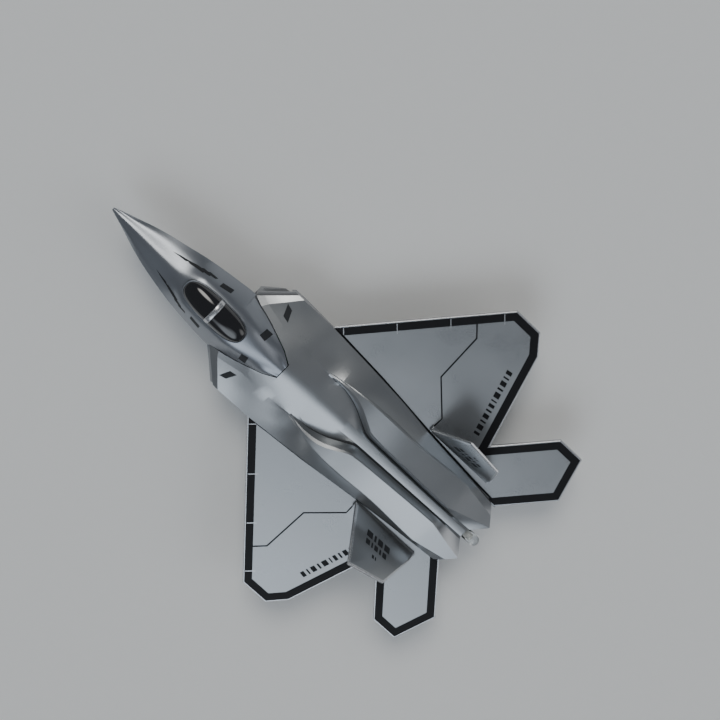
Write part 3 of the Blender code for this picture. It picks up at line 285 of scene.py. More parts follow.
class Finish:
    """A material with one Principled shader, and the few ways in which this toy's finishes are made."""

    def __init__(self, name):
        self.material = bpy.data.materials.new(name)
        self.material.use_nodes = True
        self.tree = self.material.node_tree
        self.shader = self.tree.nodes["Principled BSDF"]

    def add(self, kind, settings, sockets, output=None):
        node = self.tree.nodes.new(kind)
        for setting, value in settings.items():
            setattr(node, setting, value)
        for key, value in sockets.items():
            self.feed(self.find(node.inputs, key), value)
        return Wire(self, self.find(node.outputs, output))

    def find(self, sockets, key):
        if isinstance(key, int):
            return sockets[key]
        return next(s for s in sockets if s.enabled and key in (None, s.name))

    def feed(self, socket, value):
        if isinstance(value, Wire):
            self.tree.links.new(value.socket, socket)
        elif socket.type == "RGBA" and len(value) == 3:
            socket.default_value = (*value, 1.0)
        else:
            socket.default_value = value

    def noise(self, grain, detail=2.0, stretch=(1.0, 1.0, 1.0)):
        """Noise whose blotches are about `grain` millimetres across, from 0 to 1."""
        place = self.add("ShaderNodeTexCoord", {}, {}, "Object")
        sized = self.add("ShaderNodeMapping", {}, {"Vector": place, "Scale": stretch})
        sockets = {"Vector": sized, "Scale": 1.0 / (grain * MM), "Detail": detail}
        return self.add("ShaderNodeTexNoise", {}, sockets)

    def blend(self, share, first, second):
        return self.add("ShaderNodeMix", {"data_type": "RGBA"}, {"Factor": share, "A": first, "B": second})

    def bump(self, height, depth, edge=0.0):
        """A Bump of `depth` millimetres; `edge` also rounds the corners that light sees, by that many mm."""
        sockets = {"Height": height, "Distance": depth * MM, "Strength": 1.0}
        if edge:
            sockets["Normal"] = self.add("ShaderNodeBevel", {"samples": 6}, {"Radius": edge * MM})
        return self.add("ShaderNodeBump", {}, sockets)

    def shade(self, **values):
        for key, value in values.items():
            self.feed(self.shader.inputs[key.replace("_", " ")], value)
        return self.material


print("shader tools ready")

# %% [markdown]
# ## Silver paint
#
# The metal body and the plates are sprayed silver. Real silver paint is a clear binder full of tiny flakes:
# it reflects like rough metal, its tone drifts a little over a finger's width where the coat is thicker,
# and close up it has a fine grain and a slight orange peel. Those are three noises: a broad one for tone
# and gloss, a fine one for the flakes, and a middling one for the peel.

# %% Painted finishes
def silver_paint(name, tone, roughness, metallic, edge=0.0, flake=0.10, peel=0.010):
    finish = Finish(name)
    drift, flakes, skin_noise = finish.noise(14.0), finish.noise(0.22, 3.0), finish.noise(0.9, 1.0)
    dark = tuple(0.80 * c for c in tone)
    light = tuple(min(1.0, 1.12 * c) for c in tone)
    colour = finish.blend(flakes * flake * 4.0 + drift * 0.5 - 2.0 * flake + 0.25, dark, light)
    return finish.shade(
        Base_Color=colour, Metallic=metallic, Roughness=roughness + drift * 0.10 - 0.05 + flakes * 0.06 - 0.03,
        Normal=finish.bump(skin_noise, peel, edge))


die_cast = silver_paint("die_cast_silver", (0.42, 0.435, 0.45), 0.30, 0.92)
plate_silver = silver_paint("plate_silver", (0.42, 0.435, 0.45), 0.29, 0.90, flake=0.07, peel=0.004)
nose_silver = silver_paint("nose_silver", (0.33, 0.35, 0.385), 0.31, 0.88)
# A lighter silver: silver print on the ticks and the canopy bar, and a painted highlight on the edges of the
# plate and the fins.
silver_print_and_highlight = silver_paint("silver_print_and_highlight", (0.66, 0.67, 0.69), 0.27, 0.9)
print("four silvers mixed")

# %% [markdown]
# ## Ink, plastic, rubber and bare metal
#
# Printed black is a thin satin ink. Moulded plastic has a faint grain from its mould, and rubber is
# rougher with a dusty bloom. All of these are one recipe, a base tone broken up by two noises over a little
# bump, with other numbers.

# %% Moulded and printed finishes
def moulded(name, tone, roughness, grain=0.5, depth=0.01, edge=0.0, contrast=0.25, metallic=0.0, coat=0.0,
            shine=0.5):
    finish = Finish(name)
    finish.shader.inputs["Specular IOR Level"].default_value = shine
    broad, fine = finish.noise(6.0), finish.noise(grain, 3.0)
    dark = tuple(c * (1.0 - contrast) for c in tone)
    light = tuple(min(1.0, c * (1.0 + contrast)) for c in tone)
    return finish.shade(
        Base_Color=finish.blend(broad * 0.6 + fine * 0.4, dark, light), Metallic=metallic,
        Roughness=roughness + fine * 0.12 - 0.06, Coat_Weight=coat, Normal=finish.bump(fine, depth, edge))


black_ink = moulded("black_ink", (0.010, 0.010, 0.012), 0.42, depth=0.004, shine=0.2)
# A dark grey for painted shade in the crease at each hump's inner foot.
crease_shade_grey = moulded("crease_shade_grey", (0.060, 0.064, 0.070), 0.55, depth=0.004, shine=0.3, metallic=0.3)
grey_ink = moulded("grey_ink", (0.028, 0.030, 0.034), 0.50, depth=0.004, shine=0.25)
canopy_black = moulded("canopy_black", (0.006, 0.006, 0.008), 0.05, grain=2.0, depth=0.001, coat=1.0)
belly_grey = moulded("belly_grey", (0.30, 0.31, 0.33), 0.42, grain=0.3, edge=0.25)
duct_black = moulded("duct_black", (0.015, 0.015, 0.016), 0.55, grain=0.3, edge=0.15)
tyre_rubber = moulded("tyre_rubber", (0.025, 0.025, 0.026), 0.70, grain=0.25, depth=0.02)
hub_grey = moulded("hub_grey", (0.50, 0.51, 0.53), 0.35, grain=0.3, metallic=0.6)
motor_blue = moulded("motor_blue", (0.035, 0.075, 0.20), 0.38, edge=0.2)
gear_white = moulded("gear_white", (0.82, 0.81, 0.76), 0.42, edge=0.06, contrast=0.08)
board_green = moulded("board_green", (0.02, 0.19, 0.07), 0.40, edge=0.1)
bright_steel = moulded("bright_steel", (0.62, 0.62, 0.63), 0.26, grain=0.4, edge=0.1, contrast=0.1,
                       metallic=1.0)
spring_blue = moulded("spring_blue", (0.30, 0.33, 0.42), 0.30, edge=0.05, metallic=1.0)
cell_nickel = moulded("cell_nickel", (0.72, 0.71, 0.68), 0.20, edge=0.2, contrast=0.06, metallic=1.0)
contact_brass = moulded("contact_brass", (0.75, 0.55, 0.25), 0.28, edge=0.1, metallic=1.0)
pale_floor = moulded("pale_floor", (0.90, 0.90, 0.89), 0.75, grain=3.0, depth=0.0, contrast=0.01)
floor.data.materials.append(pale_floor)
print("moulded and printed finishes mixed")

# %% [markdown]
# The tail lamp is clear plastic. Its shader lets light through and bends it, so its colour, its refraction
# and its transmission are constants on the shader's own sockets. Only a faint noise in the roughness is
# drawn on it.

# %% Clear plastic
clear = Finish("clear_plastic")
clear.shader.inputs["Transmission Weight"].default_value = 1.0
clear.shader.inputs["IOR"].default_value = 1.49
clear_lens = clear.shade(Base_Color=(0.93, 0.96, 0.97), Roughness=clear.noise(1.5) * 0.06 + 0.03)
print("clear plastic mixed")

# %% [markdown]
# ## Wing and tail plate
#
# One flat moulding makes both wings and the tailplane. Its outline follows two sweeps: leading edges at
# 41.1 degrees and trailing edges at 17.6. The print on it is a black border that follows the edge, inside a
# thin silver rim. The rim and the plate's edge walls are a lighter silver than the plate: its own silver
# with a painted highlight along the edge. A border like that is easiest to get right as geometry: the
# outline is moved inwards twice, and the strips between the three lines become faces with their own finish,
# so the edges of the print stay sharp at any size.

# %% The plate's outline
LEAD, TRAIL = math.tan(math.radians(41.1)), math.tan(math.radians(17.6))
WING_HALF, TAIL_HALF, BODY_HALF = 67.8, 46.3, 21.4
TIP_CHORD, TIP_CUT, NOTCH_Y, TAIL_TIP, HEEL_Y, TAIL_ROOT_Y = 10.9, 6.3, 28.1, 10.4, 30.4, 13.9
PLATE_DEEP = 1.5


def plate_corners():
    """Port corners from the wing root's leading edge round to the tail root."""
    tip = -LEAD * (WING_HALF - BODY_HALF)
    heel = tip - TIP_CHORD - LEAD * TIP_CUT
    notch = heel - TRAIL * (WING_HALF - TIP_CUT - NOTCH_Y)
    tail = notch - LEAD * (TAIL_HALF - NOTCH_Y)
    tail_heel = tail - TAIL_TIP - TRAIL * (TAIL_HALF - HEEL_Y)
    return [(0.0, BODY_HALF), (tip, WING_HALF), (tip - TIP_CHORD, WING_HALF), (heel, WING_HALF - TIP_CUT),
            (notch, NOTCH_Y), (tail, TAIL_HALF), (tail - TAIL_TIP, TAIL_HALF), (tail_heel, HEEL_Y),
            (tail_heel + LEAD * (HEEL_Y - TAIL_ROOT_Y), TAIL_ROOT_Y)]


def meet(p, u, q, v):
    """Where the line from p along u meets the line from q along v."""
    cross = u[0] * v[1] - u[1] * v[0]
    share = ((q[0] - p[0]) * v[1] - (q[1] - p[1]) * v[0]) / cross
    return (p[0] + share * u[0], p[1] + share * u[1])


def inset(line, distance):
    """The open line moved inwards and ended at the y of its own two ends."""
    runs, starts = [], []
    for (x0, y0), (x1, y1) in zip(line, line[1:]):
        length = math.hypot(x1 - x0, y1 - y0)
        runs.append(((x1 - x0) / length, (y1 - y0) / length))
        starts.append((x0 - distance * runs[-1][1], y0 + distance * runs[-1][0]))
    moved = [meet(starts[0], runs[0], line[0], (1.0, 0.0))]
    for i in range(1, len(runs)):
        moved.append(meet(starts[i - 1], runs[i - 1], starts[i], runs[i]))
    return moved + [meet(starts[-1], runs[-1], line[-1], (1.0, 0.0))]


corners = plate_corners()
print("plate corners", [(round(x, 1), round(y, 1)) for x, y in corners])
print("inset by 3.3", [(round(x, 1), round(y, 1)) for x, y in inset(corners, 3.3)])

# %% Plate, printed border and rim
RIM_WIDE, BORDER_WIDE = 0.55, 2.75
EXHAUST_BAY = (-69.5, 13.2)
MOTOR_BAY = [(-59.0, -8.0), (-4.9, -8.0), (-4.9, 8.0), (-59.0, 8.0)]


def build_plate():
    edge, rim, field = corners, inset(corners, RIM_WIDE), inset(corners, RIM_WIDE + BORDER_WIDE)
    points, faces, marks = [], [], []
    for side in (1, -1):
        base = len(points)
        for line in (edge, rim, field):
            points += [(x, side * y, 0.0) for x, y in line]
        points += [(x, side * y, -PLATE_DEEP) for x, y in edge]
        n = len(edge)
        for i in range(n - 1):
            # The rim band and the edge walls take the lighter silver, a painted highlight along the edge; the
            # band inside it takes the black print.
            for band, mark in ((0, 1), (1, 2)):
                a = base + band * n + i
                faces.append([a, a + 1, a + n + 1, a + n])
                marks.append(mark)
            faces.append([base + i, base + i + 1, base + 3 * n + i + 1, base + 3 * n + i])
            marks.append(1)
    n, half = len(edge), 4 * len(edge)
    inner = len(points)
    bay_x, bay_y = EXHAUST_BAY
    for z in (0.0, -PLATE_DEEP):
        points += [(edge[-1][0], bay_y, z), (bay_x, bay_y, z), (bay_x, -bay_y, z), (edge[-1][0], -bay_y, z)]
    port, starboard = list(range(2 * n, 3 * n)), list(range(half + 2 * n, half + 3 * n))
    top = port + [n + n - 1, n - 1, inner, inner + 1, inner + 2, inner + 3, half + n - 1, half + n + n - 1]
    top += starboard[::-1] + [half + n, half, 0, n]
    low_port, low_starboard = list(range(3 * n, 4 * n)), list(range(half + 3 * n, half + 4 * n))
    bottom = low_port + [inner + 4, inner + 5, inner + 6, inner + 7] + low_starboard[::-1]
    faces += [top, bottom]
    marks += [0, 0]
    wall = [n - 1, inner, inner + 1, inner + 2, inner + 3, half + n - 1]
    under = [4 * n - 1, inner + 4, inner + 5, inner + 6, inner + 7, half + 4 * n - 1]
    for i in range(len(wall) - 1):
        faces.append([wall[i], wall[i + 1], under[i + 1], under[i]])
        marks.append(0)
    faces.append([0, half, half + 3 * n, 3 * n])
    marks.append(0)
    return from_faces(points, faces, marks)


wing_sheet = make_piece("wing_sheet", build_plate(), [plate_silver, silver_print_and_highlight, black_ink])
carve(wing_sheet, prism(MOTOR_BAY, -4.0, 3.0))
round_edges(wing_sheet, 0.35)
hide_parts("wing_plate")
print("wing sheet has", len(wing_sheet.data.polygons), "faces")

# %% [markdown]
# ## Print on the wings
#
# Fine silver ticks cross the black border, a thin black line marks a control surface, and a row of slanted
# bars stands near each trailing edge. A black line along the body is painted shadow in the gap between the
# body and the plate. Ink has no thickness worth modelling, so each mark is a flat shape laid three
# hundredths of a millimetre above the paint. One helper turns a line into a ribbon.

# %% Ribbons and wing marks
INK_LIFT = 0.03


def ribbon(line, width):
    """The corners of a ribbon of that width along an open line in plan."""
    left, right = [], []
    for i, (x, y) in enumerate(line):
        before, after = line[max(i - 1, 0)], line[min(i + 1, len(line) - 1)]
        dx, dy = after[0] - before[0], after[1] - before[1]
        length = math.hypot(dx, dy)
        left.append((x - dy / length * width / 2, y + dx / length * width / 2))
        right.append((x + dy / length * width / 2, y - dx / length * width / 2))
    return left + right[::-1]


def slanted_bars(start, along, across, widths, gap):
    """A row of slanted bars of the given widths: the row runs along, and each bar's height is across."""
    bars, reach = [], 0.0
    for width in widths:
        bars.append([tuple(s + a * u + c * v for s, a, c in zip(start, along, across))
                     for u, v in ((reach, 0.0), (reach + width, 0.0), (reach + width, 1.0), (reach, 1.0))])
        reach += width + gap
    return bars


PANEL_LINE = [(-32.6, 56.6), (-37.3, 51.7), (-38.1, 33.9), (-48.7, 23.6), (-48.5, 17.9)]
# A black line along the body: painted shadow in the gap between the body and the plate.
GAP_SHADOW_LINE = [(-1.0, 21.6), (-9.4, 20.95), (-24.0, 19.95), (-48.0, 17.45), (-71.0, 15.5), (-81.0, 14.9)]
BARS_START, BAR_LEAN, BAR_GAP = (-54.6, 51.5), (2.2, -0.35), 1.0
BAR_WIDTHS = (1.4, 0.6, 1.7, 0.7, 2.0, 0.5, 1.2, 0.7, 1.6, 0.6, 1.8, 1.0)
TICK_STEPS = (3.0, 21.0, 39.0, 57.0)
BLACK, SILVER = 0, 1
trail_run = (-math.sin(math.atan(TRAIL)), -math.cos(math.atan(TRAIL)))
lead_run = (-math.sin(math.atan(LEAD)), math.cos(math.atan(LEAD)))
shapes = [(BLACK, ribbon(PANEL_LINE, 0.55)), (BLACK, ribbon(GAP_SHADOW_LINE, 0.62))]
shapes += [(BLACK, bar) for bar in slanted_bars(BARS_START, trail_run, BAR_LEAN, BAR_WIDTHS, BAR_GAP)]
for step in TICK_STEPS:
    x, y = lead_run[0] * step - 0.4, BODY_HALF + lead_run[1] * step
    shapes.append((SILVER, ribbon([(x - 0.35, y - 0.35), (x - 2.9, y - 2.9)], 0.28)))
points, faces, marks = [], [], []
for side in (1, -1):
    for ink, shape in shapes:
        faces.append(list(range(len(points), len(points) + len(shape))))
        points += [(x, side * y, INK_LIFT) for x, y in shape]
        marks.append(ink)
make_piece("wing_marks", from_faces(points, faces, marks), [black_ink, silver_print_and_highlight], smooth=False)

# %% [markdown]
# ## The two fins
#
# Each fin is a five-sided blade, canted 23.5 degrees outwards and standing on a foot strip. It is a thin
# casting, so its faces taper to a rounded edge. The faces round that edge are a lighter silver, a painted
# highlight for the bright line that light draws along it. The blade is made flat, with an inset outline on
# both faces for the taper, and then leaned over. Its print is a block of generic bars on both faces.

# %% Fins
FIN_FRONT_X, FIN_CHORD, FIN_Y, FIN_HIGH, FIN_CANT = -48.1, 28.2, 18.5, 26.7, math.radians(23.5)
FIN_OUTLINE = [(FIN_FRONT_X, 0.0), (FIN_FRONT_X - 6.8, FIN_HIGH), (FIN_FRONT_X - 21.4, FIN_HIGH * 0.83),
               (FIN_FRONT_X - FIN_CHORD + 0.8, FIN_HIGH * 0.15), (FIN_FRONT_X - FIN_CHORD, 0.0)]
FIN_FOOT_Z, FIN_HALF_THICK = 0.9, 0.62
FIN_BARS = ((9.0, 10.6, (-0.45, 2.3), (1.8, 0.7, 1.6, 0.8, 1.7), 0.7),
            (8.2, 6.7, (-0.5, 2.8), (2.6, 0.9, 2.2, 2.4), 0.8), (13.4, 15.2, (-0.3, 1.5), (0.9, 0.5), 0.5))


def on_fin(side, x, y, z):
    """A point given along the upright blade, leaned over and set on its root line."""
    lean = side * FIN_CANT
    return (x, side * FIN_Y + y * math.cos(lean) + z * math.sin(lean),
            FIN_FOOT_Z - y * math.sin(lean) + z * math.cos(lean))


def build_fin(side):
    middle_x, middle_z = (sum(values) / len(values) for values in zip(*FIN_OUTLINE))
    rings = []
    for y, shrink in ((-FIN_HALF_THICK, 0.93), (-0.35, 0.995), (0.35, 0.995), (FIN_HALF_THICK, 0.93)):
        ring = []
        for x, z in FIN_OUTLINE:
            up = z if z == 0.0 else middle_z + (z - middle_z) * shrink
            ring.append(on_fin(side, middle_x + (x - middle_x) * shrink, y, up))
        rings.append(ring)
    return skin(rings)


for name, side in (("port", 1), ("starboard", -1)):
    blade = make_piece(f"{name}_fin_blade", build_fin(side), [plate_silver, silver_print_and_highlight])
    # The quads round the blade's edge take the lighter silver: a painted highlight along the edge.
    for face in blade.data.polygons:
        face.material_index = len(face.vertices) == 4
    round_edges(blade, 0.22, 20.0)
    inner, outer = sorted((side * (FIN_Y - 0.65), side * (FIN_Y + 1.55)))
    rear_x = FIN_FRONT_X - FIN_CHORD
    foot = [(rear_x, inner), (FIN_FRONT_X, inner), (FIN_FRONT_X, outer), (rear_x, outer)]
    make_piece(f"{name}_fin_foot", prism(foot, 0.05, 1.4), [plate_silver],
               soften=(0.3, 25.0, 3))
    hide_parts(f"{name}_fin")
    points, faces = [], []
    for face in (-1, 1):
        for back, up, across, widths, gap in FIN_BARS:
            for bar in slanted_bars((FIN_FRONT_X - back, up), (-1.0, 0.0), across, widths, gap):
                faces.append(list(range(len(points), len(points) + 4)))
                points += [on_fin(side, x, face * (FIN_HALF_THICK + INK_LIFT), z) for x, z in bar]
    make_piece(f"{name}_fin_marks", from_faces(points, faces), [grey_ink], smooth=False)
print("two fins leaned over")

# %% [markdown]
# ## Upper body
#
# The metal upper body is a row of facets that flow from the swept intake lips over two engine humps to the
# notched nozzles. It is drawn as rows across the body, each with the same seven points from the edge to the
# spine: edge, shoulder, outer and inner crest of the hump, valley, spine strip and centre. A gentle shelf
# on the crest and a groove in the valley add two more. Along the body a point moves smoothly from row to
# row, by a cubic that never overshoots. Across the body the facets stay flat, and a narrow bevel rounds the
# creases, as paint does on a casting.

# %% Smooth rows
def steady_slopes(places, values):
    """Slopes for a cubic through the values that rises and falls only where they do."""
    steps = [(v1 - v0) / (p1 - p0) for p0, p1, v0, v1 in zip(places, places[1:], values, values[1:])]
    inner = [0.0 if a * b <= 0.0 else 2.0 * a * b / (a + b) for a, b in zip(steps, steps[1:])]
    return [steps[0], *inner, steps[-1]]


def smooth_rows(rows, step=2.0, hold=()):
    """More rows between the given ones, about `step` mm apart; the spans listed in hold stay straight."""
    mean = [sum(p[0] for p in row) / len(row) for row in rows]
    places = [0.0]
    for a, b in zip(mean, mean[1:]):
        places.append(places[-1] + max(abs(b - a), 0.05))
    tracks = [[[row[c][k] for row in rows] for k in range(3)] for c in range(len(rows[0]))]
    slopes = [[steady_slopes(places, track) for track in column] for column in tracks]
    made = []
    for r in range(len(rows) - 1):
        span = places[r + 1] - places[r]
        count = max(1, round(span / step))
        for i in range(count + (r == len(rows) - 2)):
            t = i / count
            h = (2 * t**3 - 3 * t**2 + 1, t**3 - 2 * t**2 + t, 3 * t**2 - 2 * t**3, t**3 - t**2)
            row = []
            for column, slope in zip(tracks, slopes):
                point = []
                for track, tilt in zip(column, slope):
                    a, b = track[r], track[r + 1]
                    if r in hold:
                        point.append(a + (b - a) * t)
                    else:
                        point.append(h[0] * a + h[1] * span * tilt[r] + h[2] * b + h[3] * span * tilt[r + 1])
                row.append(tuple(point))
            made.append(row)
    return made


def mirrored(row):
    return row + [(x, -y, z) for x, y, z in row[-2::-1]]


print("row tools ready")

# %% Upper body rows
NOZZLE_X = -82.0


def row_at(x, *places):
    return [(x, y, z) for y, z in places]


DECK_ROWS = [
    [(15.7, 21.4, 0.7), (18.7, 18.5, 0.9), (21.6, 15.8, 1.0), (24.0, 13.5, 1.1), (25.9, 11.7, 1.2),
     (25.9, 6.0, 1.4), (25.9, 0.0, 1.6)],
    [(13.4, 21.4, 1.1), (16.4, 18.0, 1.8), (19.1, 15.0, 2.4), (21.2, 12.6, 2.9), (22.5, 10.6, 3.4),
     (22.6, 6.0, 4.6), (22.6, 0.0, 5.5)],
    [(10.5, 21.4, 1.0), (11.0, 17.7, 1.9), (11.5, 14.1, 3.0), (12.0, 10.6, 4.2), (12.0, 7.3, 5.6),
     (12.0, 3.0, 6.6), (12.0, 0.0, 7.0)],
    row_at(3.0, (21.4, 0.9), (17.5, 2.3), (14.0, 3.6), (10.5, 4.9), (7.0, 6.2), (2.8, 7.5), (0.0, 7.8)),
    row_at(-9.4, (20.7, 1.0), (16.0, 3.0), (10.2, 5.1), (9.7, 5.3), (9.2, 5.3), (2.5, 6.8), (0.0, 7.0)),
    row_at(-16.0, (20.3, 1.0), (15.4, 3.6), (11.2, 6.6), (10.2, 6.7), (9.2, 4.7), (2.4, 6.1), (0.0, 6.3)),
    row_at(-20.0, (20.0, 1.0), (15.4, 4.0), (11.9, 7.6), (9.9, 7.7), (8.5, 4.4), (2.3, 5.8), (0.0, 6.0)),
    row_at(-24.0, (19.7, 1.0), (15.5, 4.4), (12.4, 8.2), (8.9, 8.3), (7.2, 4.4), (2.2, 5.6), (0.0, 5.8)),
    row_at(-29.0, (19.3, 1.0), (15.4, 4.6), (12.7, 8.5), (6.6, 8.6), (4.7, 4.5), (2.0, 5.4), (0.0, 5.6)),
    row_at(-34.0, (18.9, 1.1), (15.3, 4.5), (12.7, 8.4), (4.7, 8.5), (2.6, 4.5), (1.7, 5.4), (0.0, 5.5)),
    row_at(-48.0, (17.2, 1.3), (14.8, 4.1), (12.4, 7.3), (4.1, 8.1), (2.3, 4.4), (1.5, 5.3), (0.0, 5.4)),
    row_at(-71.0, (15.3, 2.2), (14.5, 3.7), (13.4, 5.4), (3.6, 7.0), (2.0, 4.3), (1.3, 4.9), (0.0, 5.0)),
    [(NOZZLE_X + 0.4, 14.2, 2.9), (NOZZLE_X - 0.8, 12.8, 3.7), (NOZZLE_X - 2.1, 11.2, 4.2),
     (NOZZLE_X - 5.0, 7.6, 4.2), (NOZZLE_X - 0.7, 2.3, 4.0), (NOZZLE_X, 1.3, 4.1), (NOZZLE_X, 0.0, 4.2)],
]
DECK_FLOOR = 0.3
# How wide and how deep the gentle shelf on each hump's inner crest is, for each row.
SHELVES = [(0, 0), (0, 0), (0, 0), (0, 0), (0.1, 0.0), (0.6, 0.35), (1.0, 0.6), (1.1, 0.65), (1.0, 0.6),
           (0.5, 0.4), (0.4, 0.3), (0.4, 0.3), (0.3, 0.1)]
GROOVE_FROM, GROOVE_DEEP = 0.2, 0.45
STRAIGHT_SPANS = (0, 1, 11)  # the intake lips and the nozzle petals


def with_shelf(row, shelf):
    """Adds the shelf below the inner crest and a groove at the hump's foot to a seven-point row."""
    edge, shoulder, outer, inner, valley, strip, centre = row
    wide, deep = shelf
    step = (inner[0], inner[1] - 0.15 * wide, inner[2] - deep)
    crest = (inner[0], min(inner[1] + 0.85 * wide, outer[1] - 0.1) if wide else inner[1], inner[2])
    foot, groove = valley, tuple(0.62 * v + 0.38 * s for v, s in zip(valley, strip))
    if wide > GROOVE_FROM:
        foot = (valley[0], valley[1] + 0.12, valley[2])
        groove = (groove[0], valley[1] - 0.22, valley[2] - GROOVE_DEEP)
    return [edge, shoulder, outer, crest, step, foot, groove, strip, centre]


def build_deck():
    shaped = [with_shelf(row, shelf) for row, shelf in zip(DECK_ROWS, SHELVES)]
    rows = [mirrored(row) for row in smooth_rows(shaped, 1.6, hold=STRAIGHT_SPANS)]
    wide = len(rows[0])
    points = [p for row in rows for p in row] + [(x, y, DECK_FLOOR) for row in rows for x, y, _ in row]
    base = len(rows) * wide
    faces = []
    for r in range(len(rows) - 1):
        for c in range(wide - 1):
            a = r * wide + c
            faces.append([a, a + 1, a + wide + 1, a + wide])
            faces.append([base + i for i in (a, a + wide, a + wide + 1, a + 1)])
    rim = list(range(wide)) + [r * wide + wide - 1 for r in range(1, len(rows))]
    rim += [(len(rows) - 1) * wide + c for c in range(wide - 2, -1, -1)]
    rim += [r * wide for r in range(len(rows) - 2, 0, -1)]
    for a, b in zip(rim, rim[1:] + rim[:1]):
        faces.append([a, b, base + b, base + a])
    return from_faces(points, faces)


TONGUE_LINE = [(28.0, 11.6), (24.0, 10.6), (20.0, 9.7), (16.0, 8.5), (11.5, 6.9), (7.0, 5.2), (3.0, 2.7)]
SEAM = 0.3


def tongue_outline(spread):
    port = [(x, y + spread) for x, y in TONGUE_LINE]
    port[0], port[-1] = (34.0, port[0][1]), (port[-1][0] - spread, port[-1][1])
    return port + [(x, -y) for x, y in port[::-1]]


deck = make_piece("upper_shell", build_deck(), [die_cast], soften=(0.28, 16.0, 3))
apply_modifiers(deck)
carve(deck, prism(tongue_outline(SEAM), -1.0, 30.0))
for side in (1, -1):
    inner, outer = sorted((side * 2.7, side * 12.1))
    carve(deck, prism([(-100.0, inner), (-70.7, inner), (-70.7, outer), (-100.0, outer)], -3.1, 2.9))
carve(deck, turned([(NOZZLE_X - 9.0, 2.1), (NOZZLE_X + 9.0, 2.1)], (0.0, 0.0, 1.0), "X", 24))
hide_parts("upper_body")
print("upper shell has", len(deck.data.polygons), "faces")

# %% [markdown]
# ## Nose and tongue
#
# The plastic nose laps back over the metal body in a tapering tongue, which carries the canopy. Nose and
# tongue are one skin: every ring has the same points, round from the ridge by the shoulder and the chine to
# the keel. On the tongue the lower points lie just under the upper ones, and at the body's front they drop
# to the full depth.

# %% Nose rings
NOSE_TIP = 79.5
NOSE_STATIONS = [
    (26.3, 12.0, 1.9, 10.9, 5.2, 10.2, -10.5), (34.0, 11.4, 2.0, 10.0, 5.2, 9.5, -9.5),
    (42.5, 10.4, 2.0, 9.0, 4.8, 8.6, -9.5), (46.5, 9.8, 2.0, 7.6, 3.2, 7.2, -8.9),
    (50.0, 9.1, 2.0, 6.5, 2.3, 6.0, -8.1),
    (NOSE_TIP - 24.5, 8.0, 1.8, 5.2, 2.0, 4.7, -6.9), (NOSE_TIP - 19.5, 6.9, 1.2, 4.0, 1.8, 3.5, -5.8),
    (NOSE_TIP - 13.5, 5.2, 0.4, 2.6, 1.5, 2.2, -4.4), (NOSE_TIP - 7.5, 3.1, -0.5, 1.1, 1.0, 0.8, -3.0),
    (NOSE_TIP - 2.5, 1.4, -1.1, -0.1, 0.5, -0.3, -2.1), (NOSE_TIP, 0.4, -1.35, -1.0, 0.15, -1.05, -1.7),
]
TONGUE_STATIONS = [
    (3.0, 2.7, 7.6, 1.3, 7.9, 8.0), (7.0, 5.2, 6.8, 2.2, 8.3, 8.8), (11.5, 6.9, 5.8, 3.0, 9.0, 9.6),
    (16.0, 8.5, 4.8, 3.9, 9.7, 10.4), (20.0, 9.7, 3.9, 4.6, 10.3, 11.0), (24.0, 10.6, 3.2, 5.1, 10.4, 11.1),
    (26.2, 11.2, 2.8, 5.2, 10.2, 10.9),
]


def nose_half(x, wide, chine, shoulder, shoulder_z, ridge, low):
    """Half a ring, rounded from the ridge to the chine and square below; low gives its three lower points."""
    middle = ((wide + shoulder) / 2 + 0.25, (chine + shoulder_z) / 2 + 0.25)
    bend = [(-shoulder, shoulder_z), (0.0, ridge), (shoulder, shoulder_z), middle, (wide, chine),
            (1.5 * wide - 0.5 * middle[0], 1.5 * chine - 0.5 * middle[1])]
    round_part = []
    for four in zip(bend, bend[1:], bend[2:], bend[3:]):
        for k in range(4):
            t = k / 4
            w = (-0.5 * t + t**2 - 0.5 * t**3, 1 - 2.5 * t**2 + 1.5 * t**3, 0.5 * t + 2 * t**2 - 1.5 * t**3,
                 -0.5 * t**2 + 0.5 * t**3)
            round_part.append((x, *(sum(a * b for a, b in zip(w, track)) for track in zip(*four))))
    return [*round_part, (x, wide, chine), *((x, y, z) for y, z in low)]


def nose_rows():
    rows = []
    for x, wide, chine, shoulder, shoulder_z, ridge in TONGUE_STATIONS:
        low = [(wide - 0.2, chine - 1.3), (shoulder, shoulder_z - 2.2), (0.0, ridge - 2.4)]
        rows.append(nose_half(x, wide, chine, shoulder, shoulder_z, ridge, low))
    for x, wide, chine, ridge, shoulder, shoulder_z, keel in NOSE_STATIONS:
        low = [(0.86 * wide, chine - 0.5 * (chine - keel)), (0.42 * wide, keel), (0.0, keel)]
        rows.append(nose_half(x, wide, chine, shoulder, shoulder_z, ridge, low))
    return rows


def canopy_outline(spread, steps=64):
    """The canopy's plan: an oval whose ends are blunter than an ellipse's."""
    blunt = 2 / 2.7
    points = []
    for i in range(steps):
        angle = 2 * math.pi * (i + 0.5) / steps
        c, s = math.cos(angle), math.sin(angle)
        points.append((CANOPY_X + (12.75 + spread) * math.copysign(abs(c) ** blunt, c),
                       (4.7 + spread) * math.copysign(abs(s) ** blunt, s)))
    return points


CANOPY_X, SILL_Z, SILL_FALL, CROWN = 33.05, 9.4, 0.09, 4.3
rings = [half + [(x, -y, z) for x, y, z in half[-2:0:-1]] for half in smooth_rows(nose_rows(), 1.6, hold=(6,))]
nose = make_piece("nose_shell", skin(rings), [nose_silver], soften=(0.3, 24.0, 3))
apply_modifiers(nose)
carve(nose, prism(canopy_outline(SEAM), 2.0, 30.0))
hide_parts("nose_section")
print("nose shell has", len(nose.data.polygons), "faces")

